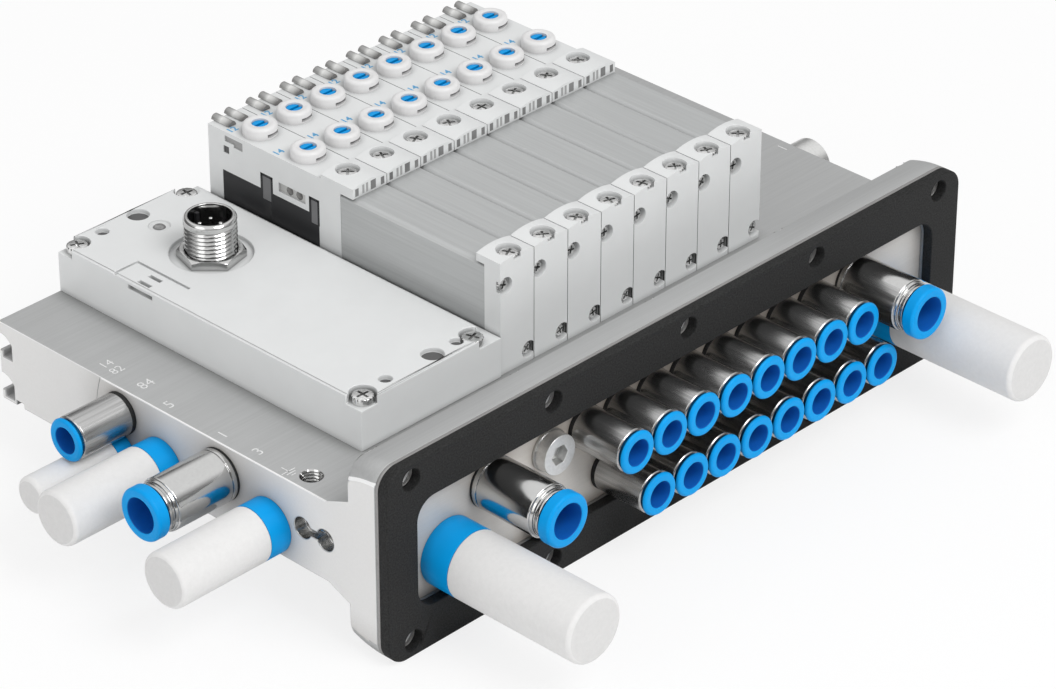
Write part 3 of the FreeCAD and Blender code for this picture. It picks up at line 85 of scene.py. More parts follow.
def new_material(name, colour, roughness, metallic=0.0, **extra):
    """A Principled material; extra sets further sockets by name."""
    material = bpy.data.materials.new(name)
    material.use_nodes = True
    shader = material.node_tree.nodes["Principled BSDF"]
    shader.inputs["Base Color"].default_value = (*colour, 1.0)
    shader.inputs["Roughness"].default_value = roughness
    shader.inputs["Metallic"].default_value = metallic
    for socket, value in extra.items():
        shader.inputs[socket.replace("_", " ")].default_value = value
    material.diffuse_color = (*colour, 1.0)
    return material


def noise(material, scale, stretch=(1, 1, 1), detail=3.0, rough=0.5):
    """Noise over the object's own coordinates, stretched along the axes."""
    tree = material.node_tree
    place = tree.nodes.new("ShaderNodeTexCoord")
    mapping = tree.nodes.new("ShaderNodeMapping")
    mapping.inputs["Scale"].default_value = stretch
    texture = tree.nodes.new("ShaderNodeTexNoise")
    texture.inputs["Scale"].default_value = scale
    texture.inputs["Detail"].default_value = detail
    texture.inputs["Roughness"].default_value = rough
    tree.links.new(place.outputs["Object"], mapping.inputs["Vector"])
    tree.links.new(mapping.outputs["Vector"], texture.inputs["Vector"])
    return texture.outputs["Fac"]


def shade_colour(material, factor, dark, light, low=0.3, high=0.7):
    """Drive the base colour between two colours with a texture."""
    tree = material.node_tree
    ramp = tree.nodes.new("ShaderNodeValToRGB")
    ramp.color_ramp.elements[0].position = low
    ramp.color_ramp.elements[1].position = high
    ramp.color_ramp.elements[0].color = (*dark, 1)
    ramp.color_ramp.elements[1].color = (*light, 1)
    tree.links.new(factor, ramp.inputs["Fac"])
    tree.links.new(ramp.outputs["Color"], tree.nodes["Principled BSDF"].inputs["Base Color"])


def shade_roughness(material, factor, low, high):
    """Drive the roughness between two values with a texture."""
    tree = material.node_tree
    spread = tree.nodes.new("ShaderNodeMapRange")
    spread.inputs["To Min"].default_value = low
    spread.inputs["To Max"].default_value = high
    tree.links.new(factor, spread.inputs["Value"])
    tree.links.new(spread.outputs["Result"], tree.nodes["Principled BSDF"].inputs["Roughness"])


def bump(material, factor, distance, strength=1.0):
    """Let a texture raise the surface by a distance in metres."""
    tree = material.node_tree
    node = tree.nodes.new("ShaderNodeBump")
    node.inputs["Distance"].default_value = distance
    node.inputs["Strength"].default_value = strength
    tree.links.new(factor, node.inputs["Height"])
    tree.links.new(node.outputs["Normal"], tree.nodes["Principled BSDF"].inputs["Normal"])


def contact_shade(material, reach, depth, warmth=0.0):
    """Let a material grow darker, and a little warmer, in corners and narrow gaps; reach is in mm."""
    tree = material.node_tree
    socket = tree.nodes["Principled BSDF"].inputs["Base Color"]
    plain = socket.links[0].from_socket
    near = tree.nodes.new("ShaderNodeAmbientOcclusion")
    near.samples = 6
    near.inputs["Distance"].default_value = reach * MM
    spread = tree.nodes.new("ShaderNodeValToRGB")
    low = 1 - depth
    spread.color_ramp.elements[0].color = (low * (1 + warmth), low, low * (1 - warmth), 1)
    blend = tree.nodes.new("ShaderNodeMix")
    blend.data_type = "RGBA"
    blend.blend_type = "MULTIPLY"
    blend.inputs["Factor"].default_value = 1.0
    tree.links.new(near.outputs["AO"], spread.inputs["Fac"])
    tree.links.new(plain, blend.inputs["A"])
    tree.links.new(spread.outputs["Color"], blend.inputs["B"])
    tree.links.new(blend.outputs["Result"], socket)


def scaled(colour, factor):
    """A colour made darker or lighter by a factor."""
    return tuple(min(1.0, part * factor) for part in colour)


def moulded(name, colour, roughness=0.42, mottle=0.03):
    """Moulded plastic: faint mottling and a fine satin grain."""
    material = new_material(name, colour, roughness)
    shade_colour(material, noise(material, 160, detail=2),
                 scaled(colour, 1 - mottle), scaled(colour, 1 + mottle))
    bump(material, noise(material, 5200, detail=2), 0.00002, 0.35)
    return material


def brushed(name, colour, roughness, grain, metallic=0.9, contrast=0.06, depth=0.25):
    """Metal with fine lines along one axis."""
    material = new_material(name, colour, roughness, metallic)
    lines = noise(material, 1500, grain, detail=4, rough=0.6)
    shade_colour(material, lines, scaled(colour, 1 - contrast), scaled(colour, 1 + contrast), 0.35, 0.65)
    shade_roughness(material, noise(material, 500, grain, detail=3), roughness - 0.06, roughness + 0.08)
    bump(material, lines, 0.00002, depth)
    return material


def porous(name, colour, dark, light):
    """Pressed porous plastic: a fine, rough grain."""
    material = new_material(name, colour, 0.8, Specular_IOR_Level=0.3)
    shade_colour(material, noise(material, 900, detail=5, rough=0.7), dark, light)
    bump(material, noise(material, 1900, detail=3), 0.00008, 0.35)
    return material


LIGHT_GREY = (0.74, 0.75, 0.75)
WHITE = (0.76, 0.755, 0.755)
BLUE = (0.0, 0.33, 0.78)
LINES_X, LINES_Y, EVEN = (0.02, 1.0, 1.0), (1.0, 0.02, 1.0), (1.0, 1.0, 1.0)
# The bands of a light guide are painted highlight along its middle and painted shade towards its front and
# rear
GUIDE_FRONT, GUIDE_REAR = 0.1135, 0.1194  # where the bands of a light guide start and end, in metres

look = {
    "anodised_rail": brushed("rail_aluminium", (0.48, 0.485, 0.485), 0.5, LINES_X, 0.5, 0.035, 0.2),
    "grey_aluminium": brushed("valve_aluminium", (0.515, 0.525, 0.525), 0.5, LINES_Y, 0.45, 0.045, 0.25),
    "steel_sheet": brushed("bright_sheet", (0.34, 0.335, 0.33), 0.5, LINES_X, 0.7),
    "light_plastic": moulded("light_grey_plastic", LIGHT_GREY, 0.42, 0.012),
    "white_plastic": moulded("white_plastic", WHITE, 0.38, 0.012),
    "blue_plastic": moulded("blue_plastic", BLUE, 0.4, 0.03),
    "black_plastic": moulded("black_plastic", (0.018, 0.018, 0.02), 0.42, 0.08),
    "clip_grey": moulded("clip_grey", (0.16, 0.16, 0.165), 0.4, 0.06),
    "board_green": moulded("board_green", (0.03, 0.16, 0.08), 0.4, 0.1),
    "nickel_brass": brushed("nickel_plate", (0.60, 0.60, 0.595), 0.13, EVEN, 1.0, 0.02, 0.05),
    "nickel_screw": brushed("screw_nickel", (0.74, 0.74, 0.735), 0.22, EVEN, 1.0, 0.15, 0.6),
    "plug_metal": brushed("turned_plug", (0.72, 0.72, 0.71), 0.32, EVEN, 0.9, 0.05),
}
for name, level in (("blue_plastic", 0.16), ("black_plastic", 0.35)):
    look[name].node_tree.nodes["Principled BSDF"].inputs["Specular IOR Level"].default_value = level

rubber = new_material("black_rubber", (0.02, 0.02, 0.02), 0.7, Specular_IOR_Level=0.22)
shade_colour(rubber, noise(rubber, 2600, detail=3), (0.009, 0.009, 0.009), (0.030, 0.030, 0.030))
bump(rubber, noise(rubber, 3000, detail=3), 0.00005, 0.5)
look["black_rubber"] = rubber

look["porous_white"] = porous("porous_white", (0.76, 0.755, 0.75), (0.735, 0.73, 0.725), (0.775, 0.77, 0.765))

lens = new_material("lamp_lens", (0.22, 0.22, 0.22), 0.15, Coat_Weight=0.6)
shade_colour(lens, noise(lens, 900, detail=1), (0.15, 0.15, 0.15), (0.3, 0.3, 0.3))
look["lamp_lens"] = lens

guide = new_material("smoky_guide", (0.4, 0.39, 0.38), 0.08, Coat_Weight=1.0, Coat_Roughness=0.03)
tree = guide.node_tree
spot = tree.nodes.new("ShaderNodeTexCoord")
parts = tree.nodes.new("ShaderNodeSeparateXYZ")
along = tree.nodes.new("ShaderNodeMapRange")
along.inputs["From Min"].default_value = GUIDE_FRONT
along.inputs["From Max"].default_value = GUIDE_REAR
tree.links.new(spot.outputs["Object"], parts.inputs["Vector"])
tree.links.new(parts.outputs["Y"], along.inputs["Value"])
# Painted highlight and shade: dark at the guide's front, light in the middle, dark again at its rear
shade_colour(guide, along.outputs["Result"], (0.13, 0.125, 0.12), (0.2, 0.195, 0.19), 0.0, 1.0)
bands = next(node for node in tree.nodes if node.type == "VALTORGB").color_ramp
for place, tone in ((0.25, 0.5), (0.5, 0.72), (0.7, 0.35)):
    bands.elements.new(place).color = (tone, tone, tone * 0.98, 1)
look["guide_grey"] = guide

# Painted shade: a darker copy of the porous white for the silencers' end faces
painted_shade_porous_end = porous("painted_shade_porous_end", (0.68, 0.675, 0.67), (0.655, 0.65, 0.645), (0.70, 0.695, 0.69))
milled = brushed("milled_end", (0.785, 0.78, 0.772), 0.55, EVEN, 0.15, 0.01, 0.05)
# Painted light: a lighter, warmer copy of the rail aluminium for the shaded face inside the flange window,
# warm against blue light bounced from the collars
painted_light_window_face = brushed("painted_light_window_face", (0.72, 0.705, 0.68), 0.45, LINES_X, 0.3, 0.02, 0.1)
satin_front = brushed("satin_nickel_front", (0.47, 0.47, 0.467), 0.23, LINES_Y, 1.0, 0.16, 0.4)
satin_end = brushed("satin_nickel_end", (0.47, 0.47, 0.467), 0.25, LINES_X, 1.0, 0.16, 0.4)
groove_shade = brushed("groove_shade", (0.5, 0.5, 0.5), 0.55, LINES_X, 0.3, 0.05)
# Painted highlight for the rail's rounded left top edge and the rims of the flange's bolt holes
painted_highlight_edge = brushed("painted_highlight_edge", (0.93, 0.93, 0.93), 0.4, LINES_Y, 0.1, 0.02, 0.05)
keyway = brushed("keyway_inside", (0.5, 0.5, 0.495), 0.2, EVEN, 1.0, 0.2, 0.2)
# Painted shade for the floors of holes and the undersides of the light guides
painted_shade_inside = moulded("painted_shade_inside", (0.10, 0.10, 0.10), 0.6, 0.05)
vent_shade = moulded("vent_shade", (0.19, 0.19, 0.19), 0.6, 0.3)
pane = moulded("window_pane", (0.50, 0.50, 0.49), 0.3, 0.12)
# Lighter painted shade for shallow slots and the side catches
painted_shade_grey = moulded("painted_shade_grey", (0.36, 0.36, 0.36), 0.5, 0.04)
deep_shade = moulded("deep_shade", (0.02, 0.02, 0.02), 0.7, 0.05)
# Painted shade: a darker copy of the blue plastic for the rings' bores
painted_shade_bore_blue = moulded("painted_shade_bore_blue", (0.004, 0.13, 0.52), 0.45, 0.04)

# Material, reach of its contact shade in mm, depth and warmth
for material, reach, depth, warmth in (
        (look["anodised_rail"], 4, 0.6, 0.02), (look["grey_aluminium"], 1.5, 0.7, 0),
        (look["light_plastic"], 1.6, 0.58, 0), (look["white_plastic"], 1.5, 0.38, 0),
        (look["blue_plastic"], 2.5, 0.5, 0), (look["nickel_screw"], 1, 0.4, 0),
        (look["nickel_brass"], 1.2, 0.75, 0), (look["plug_metal"], 1.2, 0.7, 0),
        (milled, 11, 0.72, 0.12), (painted_light_window_face, 12, 0.5, 0.14),
        (groove_shade, 2, 0.35, 0), (look["guide_grey"], 1, 0.5, 0)):
    contact_shade(material, reach, depth, warmth)

for entry in frame["record"]["subparts"]:
    node = frame["nodes"][entry["node"]]
    node.data.materials.clear()
    node.data.materials.append(look[entry["material_slot"]])


# Meshes

def settled(obj):
    """The object's mesh with its modifiers applied; the object itself goes."""
    graph = bpy.context.evaluated_depsgraph_get()
    mesh = bpy.data.meshes.new_from_object(obj.evaluated_get(graph))
    bpy.data.objects.remove(obj)
    return mesh


def loose(mesh):
    """A mesh as an object in the scene, for modifiers."""
    obj = bpy.data.objects.new("work", mesh)
    bpy.context.scene.collection.objects.link(obj)
    return obj


def add_piece(name, mesh, entry, body="root", replaced=(), material=None):
    """A finished mesh as a piece of the model, in the look of a material slot."""
    mesh.materials.clear()
    mesh.materials.append(material or look[entry])
    piece = bpy.data.objects.new(name, mesh)
    bpy.context.scene.collection.objects.link(piece)
    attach(piece, body)
    if replaced:
        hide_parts(*replaced)
    return piece


def even_normals(obj):
    """Wide faces look flat and only the rounded edges between them turn."""
    weigh = obj.modifiers.new("normals", "WEIGHTED_NORMAL")
    weigh.weight = 100
    weigh.use_face_influence = True


def softened(node, width, segments=2, clamp=False):
    """The CAD node again, with its sharp edges rounded."""
    source = frame["nodes"][node]
    bm = bmesh.new()
    bm.from_mesh(source.data)
    bmesh.ops.remove_doubles(bm, verts=bm.verts, dist=MERGE)
    bmesh.ops.dissolve_limit(bm, angle_limit=math.radians(0.6), verts=bm.verts, edges=bm.edges)
    mesh = bpy.data.meshes.new(node)
    bm.to_mesh(mesh)
    bm.free()
    mesh.shade_smooth()
    obj = loose(mesh)
    bevel = obj.modifiers.new("edges", "BEVEL")
    bevel.width = width * MM
    bevel.segments = segments
    bevel.limit_method = "ANGLE"
    bevel.angle_limit = ROUNDED_ANGLE
    bevel.use_clamp_overlap = clamp
    bevel.face_strength_mode = "FSTR_ALL"
    even_normals(obj)
    result = settled(obj)
    low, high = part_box(node)
    for vertex in result.vertices:
        vertex.co = [min(max(vertex.co[i], low[i]), high[i]) for i in range(3)]
    return add_piece(node + "_finish", result, SLOTS[node], source["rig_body"], [node])


def repaint(piece, material, where):
    """Give the faces of a piece that a test picks another material."""
    piece.data.materials.append(material)
    for face in piece.data.polygons:
        if where(face.center, face.normal):
            face.material_index = len(piece.data.materials) - 1


def islands(node):
    """Lowest and highest corner of every separate solid in a CAD node, in a steady order."""
    bm = bmesh.new()
    bm.from_mesh(frame["nodes"][node].data)
    bmesh.ops.remove_doubles(bm, verts=bm.verts, dist=MERGE)
    found, seen = [], set()
    bm.verts.ensure_lookup_table()
    for start in bm.verts:
        if start.index in seen:
            continue
        seen.add(start.index)
        waiting, points = [start], []
        while waiting:
            vertex = waiting.pop()
            points.append(vertex.co.copy())
            for edge in vertex.link_edges:
                other = edge.other_vert(vertex)
                if other.index not in seen:
                    seen.add(other.index)
                    waiting.append(other)
        found.append((Vector([min(p[i] for p in points) for i in range(3)]),
                      Vector([max(p[i] for p in points) for i in range(3)])))
    bm.free()
    return sorted(found, key=lambda pair: [round(c, 5) for c in pair[0]])


def eased(points):
    """Profile with its corners eased: a third number of a point is how far from it the round starts."""
    result = []
    for index, point in enumerate(points):
        if len(point) == 2:
            result.append(Vector(point))
            continue
        corner = Vector(point[:2])
        before = Vector(points[index - 1][:2]) - corner
        after = Vector(points[(index + 1) % len(points)][:2]) - corner
        first, last = corner + before.normalized() * point[2], corner + after.normalized() * point[2]
        for step in range(5):
            share = step / 4
            result.append(first * (1 - share) ** 2 + corner * 2 * share * (1 - share) + last * share ** 2)
    return result


def turned(points, segments=64, ripple=None):
    """Mesh turned round the Z axis from a closed profile of (radius, height) in mm.

    A ripple changes a radius by its height and the turn, as a thread does.
    """
    profile = eased(points)
    bm = bmesh.new()
    rings = []
    for radius, height in profile:
        if radius < 1e-4:
            rings.append([bm.verts.new((0, 0, height * MM))] * segments)
            continue
        ring = []
        for step in range(segments):
            turn = 2 * math.pi * step / segments
            reach = radius + (ripple(radius, height, turn) if ripple else 0)
            ring.append(bm.verts.new((reach * MM * math.cos(turn), reach * MM * math.sin(turn), height * MM)))
        rings.append(ring)
    for low, high in zip(rings, rings[1:] + rings[:1]):
        for step in range(segments):
            corners = []
            for vertex in (low[step], low[(step + 1) % segments], high[(step + 1) % segments], high[step]):
                if vertex not in corners:
                    corners.append(vertex)
            if len(corners) > 2:
                bm.faces.new(corners)
    bmesh.ops.recalc_face_normals(bm, faces=bm.faces)
    mesh = bpy.data.meshes.new("turned")
    bm.to_mesh(mesh)
    bm.free()
    return mesh


def prism(points, low, high, shrink=1.0):
    """Mesh of an outline in mm between two heights; its upper end may be narrower."""
    bm = bmesh.new()
    foot = [bm.verts.new((x * MM, y * MM, low * MM)) for x, y in points]
    head = [bm.verts.new((x * shrink * MM, y * shrink * MM, high * MM)) for x, y in points]
    bm.faces.new(foot[::-1])
    bm.faces.new(head)
    for index in range(len(points)):
        after = (index + 1) % len(points)
        bm.faces.new((foot[index], foot[after], head[after], head[index]))
    bmesh.ops.recalc_face_normals(bm, faces=bm.faces)
    mesh = bpy.data.meshes.new("prism")
    bm.to_mesh(mesh)
    bm.free()
    return mesh


def slab(x, y, z, place=(0, 0, 0), turn=0.0):
    """Box of full sizes x, y, z in mm round a place, turned about Z."""
    mesh = prism([(-x / 2, -y / 2), (x / 2, -y / 2), (x / 2, y / 2), (-x / 2, y / 2)], -z / 2, z / 2)
    mesh.transform(Matrix.Translation(Vector(place) * MM) @ Matrix.Rotation(turn, 4, "Z"))
    return mesh


def combined(mesh, tools, operation="DIFFERENCE"):
    """A mesh with the tools cut out of it, or with only what it shares with them."""
    obj = loose(mesh)
    helpers = [loose(tool) for tool in tools]
    for helper in helpers:
        step = obj.modifiers.new("step", "BOOLEAN")
        step.operation = operation
        step.object = helper
        step.solver = "EXACT"
    result = settled(obj)
    for helper in helpers:
        bpy.data.objects.remove(helper)
    return result


def joined(copies):
    """One mesh from copies of meshes, each with its own place in the frame."""
    bm = bmesh.new()
    for mesh, matrix in copies:
        moved = mesh.copy()
        moved.transform(matrix)
        bm.from_mesh(moved)
        bpy.data.meshes.remove(moved)
    mesh = bpy.data.meshes.new("joined")
    bm.to_mesh(mesh)
    bm.free()
    return mesh


def stamped(name, copies, entry, body="root", replaced=(), width=0.0):
    """One piece from copies of meshes, smoothed, with its sharp edges rounded if a width is given."""
    mesh = joined(copies)
    mesh.shade_smooth()
    obj = loose(mesh)
    if width:
        bevel = obj.modifiers.new("edges", "BEVEL")
        bevel.width = width * MM
        bevel.segments = 2
        bevel.angle_limit = ROUNDED_ANGLE
        bevel.face_strength_mode = "FSTR_ALL"
    else:
        mesh.set_sharp_from_angle(angle=math.radians(34))
    even_normals(obj)
    obj.modifiers["normals"].use_face_influence = bool(width)
    obj.modifiers["normals"].keep_sharp = not width
    return add_piece(name, settled(obj), entry, body, replaced)


def at(x, y, z, turn=Matrix.Identity(4)):
    """Matrix that turns a mesh and then puts it at a place in metres."""
    return Matrix.Translation((x, y, z)) @ turn


def middle(node):
    """Place of a CAD node's axis and its lowest and highest point, in metres."""
    low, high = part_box(node)
    return (low[0] + high[0]) / 2, (low[1] + high[1]) / 2, low[2], high[2]


FRONT = Matrix.Rotation(math.radians(90), 4, "X")
LEFT = Matrix.Rotation(math.radians(-90), 4, "Y")
UNTURNED = Matrix.Identity(4)
SLOTS = {entry["node"]: entry["material_slot"] for entry in frame["record"]["subparts"]}


# Rounded copies of the CAD nodes

# Node, width of the rounding in mm, and whether it gives way where edges are close together
ROUNDED = (
    ("manifold_rail", 0.25, False), ("flange_gasket", 0.3, False), ("gasket_carrier", 0.12, False),
    ("interface_housing", 0.22, False), ("valve_bodies", 0.12, False), ("end_covers", 0.22, True),
    ("pilot_housings", 0.15, True), ("solenoid_blocks", 0.15, True), ("coil_clips", 0.12, True),
    ("port_plugs", 0.15, False), ("fitting_seals", 0.15, False), ("silencer_collars", 0.15, False),
    ("silencer_bodies", 0.35, False), ("light_guides", 0.3, True), ("fitting_bodies", 0.12, False))

# Limits of the rules below, in metres, and shares of a normal that tell how square a face lies
SQUARE, NEAR_SQUARE, SLANTED = 0.99, 0.95, 0.5
RAIL_END = 0.0905  # beyond it, on either side, are the rail's milled ends
EDGE_END, EDGE_FOOT = 0.0909, 0.0095  # beyond and above them is the rounded left top edge
GROOVE_FLOOR, GROOVE_MOUTH, GROOVE_TOP = 0.1184, 0.1222, 0.0085
FLANGE_FRONT, FLANGE_BACK = 0.001, 0.012
WINDOW_HALF_LENGTH, WINDOW_HALF_HEIGHT = 0.09, 0.02
BOLT_COLUMNS, BOLT_ROW, BOLT_RIM = (0, 0.042, 0.084), 0.0199, 0.0028
POCKET_MOUTH, POCKET_FLOOR, POCKET_HALF_HEIGHT = -0.0911, -0.088, 0.0026
POCKET_FRONT, POCKET_REAR = 0.0158, 0.0282
SILENCER_SIDE, SILENCER_FRONT = 0.105, -0.03  # beyond them are the silencers' end faces
FITTING_ROW_HALF, SMALL_END_FITTING = 0.0555, 0.07
SMALL_BORE, LARGE_BORE, BORE_MARGIN = 0.0032, 0.0042, 0.0001  # radii of the rings' bores


def near_bolt(spot):
    """True for a spot in or just round one of the flange's bolt holes."""
    return min(math.hypot(abs(spot.x) - column, abs(spot.z) - BOLT_ROW) for column in BOLT_COLUMNS) < BOLT_RIM


def repaint_rail(rail):
    """Milled ends, shaded hook grooves, painted highlights on the left top edge and round the bolt holes,
    painted light on the face in the window, and the double pocket.
    """
    repaint(rail, milled, lambda spot, normal: abs(normal.x) > SQUARE and abs(spot.x) > RAIL_END)
    repaint(rail, groove_shade, lambda spot, normal: GROOVE_FLOOR < spot.y < GROOVE_MOUTH
            and spot.z < GROOVE_TOP and abs(normal.x) < SLANTED)
    # Painted highlight on the rounded left top edge
    repaint(rail, painted_highlight_edge, lambda spot, normal: spot.x < -EDGE_END and spot.z > EDGE_FOOT
            and 0.25 < normal.z < 0.97 and normal.x < -0.25)
    # Painted light on the face inside the flange window
    repaint(rail, painted_light_window_face, lambda spot, normal: normal.y < -SQUARE and FLANGE_FRONT < spot.y < FLANGE_BACK
            and abs(spot.x) < WINDOW_HALF_LENGTH and abs(spot.z) < WINDOW_HALF_HEIGHT)
    # Painted highlight round the flange's bolt holes
    repaint(rail, painted_highlight_edge, lambda spot, normal: spot.y < FLANGE_BACK and abs(normal.y) < 0.9
            and near_bolt(spot))
    repaint(rail, keyway, lambda spot, normal: POCKET_MOUTH < spot.x < POCKET_FLOOR
            and abs(spot.z) < POCKET_HALF_HEIGHT and POCKET_FRONT < spot.y < POCKET_REAR)


for node, width, clamp in ROUNDED:
    finish = softened(node, width, 2, clamp)
    if node == "manifold_rail":
        repaint_rail(finish)
    elif node == "silencer_bodies":
        # The silencers' end faces get the porous white with painted shade
        repaint(finish, painted_shade_porous_end, lambda spot, normal: (
            normal.x < -NEAR_SQUARE and spot.x < -SILENCER_SIDE
            or normal.x > NEAR_SQUARE and spot.x > SILENCER_SIDE
            or normal.y < -NEAR_SQUARE and spot.y < SILENCER_FRONT))
    elif node == "fitting_bodies":
        repaint(finish, satin_front, lambda spot, normal: abs(spot.x) < FITTING_ROW_HALF)
        repaint(finish, satin_end, lambda spot, normal: spot.x < -RAIL_END and spot.y > SMALL_END_FITTING)
    elif node == "light_guides":
        # Painted shade on the light guides' undersides
        repaint(finish, painted_shade_inside, lambda spot, normal: normal.z < -0.9)
for node in frame["nodes"]:
    if node.startswith("ring_"):
        ring = softened(node, 0.3, 3)
        low, high = (Vector(corner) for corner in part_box(node))
        axis = 0 if "end" in node else 1
        across = [i for i in range(3) if i != axis]
        hole = (LARGE_BORE if "large" in node or "front" in node else SMALL_BORE) + BORE_MARGIN
        # Bore walls get the blue plastic with painted shade
        repaint(ring, painted_shade_bore_blue, lambda spot, normal: math.hypot(
            *(spot[i] - (low[i] + high[i]) / 2 for i in across)) < hole and abs(normal[axis]) < SLANTED)
    elif node.startswith("override_") and node != "override_caps":
        softened(node, 0.1)


# Fasteners and caps, in mm

SCREW_SUNK = 0.45
KNURLS = 16
CAP_BORE, CAP_RADIUS, CAP_HEIGHT, CAP_DISH = 1.96, 4.0, 2.7, 2.62
SLIT_LENGTH, SLIT_HEIGHT, SLIT_X, SLIT_Z = 3.6, 0.8, 0.6, 0.85


def cross(size, depth, top):
    """Two tapered bars of a cross recess, to be cut from a screw's head."""
    return [prism([(-a, -b), (a, -b), (a, b), (-a, b)], top - depth, top + 0.3, 1.15)
            for a, b in ((size, size * 0.2), (size * 0.2, size))]


def screw_head(diameter, height):
    """Low cheese head with a cross recess and a fine knurl round its rim."""
    radius = diameter / 2
    head = turned([(0, -height), (radius, -height), (radius, -0.1, 0.15), (radius * 0.8, 0.0), (0, 0.05)], 48)
    teeth = []
    for step in range(KNURLS):
        turn = 2 * math.pi * step / KNURLS
        teeth.append(slab(0.5, 0.24, 0.9, (radius * math.cos(turn), radius * math.sin(turn), 0), turn))
    return combined(head, cross(radius * 0.58, 0.7, 0.0) + teeth)


def spun(x, y):
    """How far a screw at a place is turned, the same on every run."""
    seed = round(x * 1e5) + round(y * 1e4)
    return Matrix.Rotation(math.radians(random.Random(seed).uniform(0, 90)), 4, "Z")


heads, copies = {}, []
for low, high in islands("valve_screws"):
    wide, deep = (round((high[i] - low[i]) / MM, 2) for i in range(2))
    upright = wide > 2 and abs(wide - deep) < 0.1
    if wide not in heads:
        heads[wide] = screw_head(wide, 0.95)
    x, y, z = (low + high) / 2
    sunk = SCREW_SUNK * MM
    copies.append((heads[wide], at(x, y, high[2] - sunk, spun(x, y)) if upright
                   else at(x, low[1] + sunk, z, FRONT @ spun(x, y))))
stamped("valve_screw_heads", copies, "nickel_screw", replaced=["valve_screws"])

lid_head = screw_head(4.9, 1.7)
copies = []
for low, high in islands("interface_screws"):
    x, y, z = (low + high) / 2
    copies.append((lid_head, at(x, y, high[2], spun(x, y))))
stamped("lid_screw_heads", copies, "nickel_screw", replaced=["interface_screws"])

cap = turned([(CAP_BORE, 0), (CAP_RADIUS, 0), (CAP_RADIUS, CAP_HEIGHT, 0.9), (2.75, CAP_HEIGHT, 0.2),
              (2.55, CAP_DISH), (CAP_BORE, CAP_DISH, 0.1)], 72)
cap = combined(cap, [slab(SLIT_LENGTH, 1.4, SLIT_HEIGHT, (SLIT_X, -3.9, SLIT_Z))])
copies = [(cap, at((low[0] + high[0]) / 2, (low[1] + high[1]) / 2, low[2]))
          for low, high in islands("override_caps")]
stamped("override_caps_finish", copies, "white_plastic", replaced=["override_caps"])


# Connector and lamp, in mm

THREAD_RADIUS, THREAD_DEPTH, SHELL_BORE, SHELL_FOOT = 6.0, 0.42, 4.9, 7.2
NUT_CORNER, NUT_BORE, NUT_TURN = 7.85, 6.05, 14
CORE_RADIUS, CORE_CUP, CUP_DEPTH, KEY_SIZE = 4.85, 4.6, 3.2, 0.9
CONTACT_RADIUS, CONTACT_HEIGHT, CONTACT_PLACE = 0.5, 6.0, 1.63
LAMP_RADIUS = 1.3

x, y, low, high = middle("connector_shell")
CONNECTOR_LINE = x / MM
rim = (high - low) / MM
ridges_low, ridges_high = rim - 8.6, rim - 2.1


def thread(radius, height, turn):
    """Depth of a 1 mm pitch thread that starts and ends softly."""
    if radius < THREAD_RADIUS - 0.1 or not ridges_low - 1 < height < ridges_high + 0.5:
        return 0
    share = (height - turn / (2 * math.pi)) % 1.0
    fade = min(1.0, max(0.0, (ridges_high + 0.3 - height + turn / (2 * math.pi) - 0.5) * 3))
    return -THREAD_DEPTH * abs(2 * share - 1) * fade


outer = [(THREAD_RADIUS, ridges_low - 1 + step * 0.125)
         for step in range(int((ridges_high - ridges_low + 1.6) * 8))]
shell = turned([(SHELL_BORE, 0), (SHELL_FOOT, 0), (SHELL_FOOT, 1.4), (THREAD_RADIUS, 1.4)] + outer
               + [(THREAD_RADIUS, rim - 0.62, 0.2), (5.55, rim, 0.2), (4.95, rim, 0.15),
                  (SHELL_BORE, rim - 0.4)], 96, thread)
stamped("connector_thread", [(shell, at(x, y, low))], "nickel_brass", replaced=["connector_shell"])

x, y, low, high = middle("connector_nut")
height = (high - low) / MM
corners = [math.radians(60 * step) for step in range(6)]
hexagon = [(NUT_CORNER * math.cos(corner), NUT_CORNER * math.sin(corner)) for corner in corners]
blank = turned([(0, -1), (7.5, -1), (NUT_CORNER, 0.15), (NUT_CORNER, height - 0.55), (7.0, height),
                (0, height)], 96)
bore = turned([(0, -2), (NUT_BORE, -2), (NUT_BORE, height + 1), (0, height + 1)], 96)
nut = combined(combined(prism(hexagon, 0, height), [blank], "INTERSECT"), [bore])
stamped("connector_nut_finish", [(nut, at(x, y, low, Matrix.Rotation(math.radians(NUT_TURN), 4, "Z")))],
        "nickel_brass", replaced=["connector_nut"], width=0.12)

x, y, low, high = middle("connector_insert")
cup = (high - low) / MM - CUP_DEPTH
key_top = rim - 1.2
core = turned([(0, 0), (CORE_RADIUS, 0), (CORE_RADIUS, cup + 0.6), (CORE_CUP, cup + 0.6, 0.1),
               (CORE_CUP, cup, 0.1), (0, cup)], 72)
key = slab(KEY_SIZE, KEY_SIZE, key_top - cup, (0, 4.35, (cup + key_top) / 2))
stamped("connector_core", [(core, at(x, y, low)), (key, at(x, y, low))], "black_plastic",
        replaced=["connector_insert"])
contact = turned([(0, 0), (CONTACT_RADIUS, 0), (CONTACT_RADIUS, cup + CONTACT_HEIGHT, 0.3),
                  (0, cup + CONTACT_HEIGHT)], 24)
stamped("connector_contacts", [(contact, at(x + a * CONTACT_PLACE * MM, y + b * CONTACT_PLACE * MM, low))
                               for a in (-1, 1) for b in (-1, 1)], "nickel_brass")

x, y, low, high = middle("status_led")
tall = (high - low) / MM
lamp = turned([(0, 0), (LAMP_RADIUS, 0), (LAMP_RADIUS, tall - 0.35, 0.3), (0.9, tall - 0.08, 0.3),
               (0, tall)], 40)
stamped("status_lamp", [(lamp, at(x, y, low))], "lamp_lens", replaced=["status_led"])


# Painted shade in insides and seams, in mm

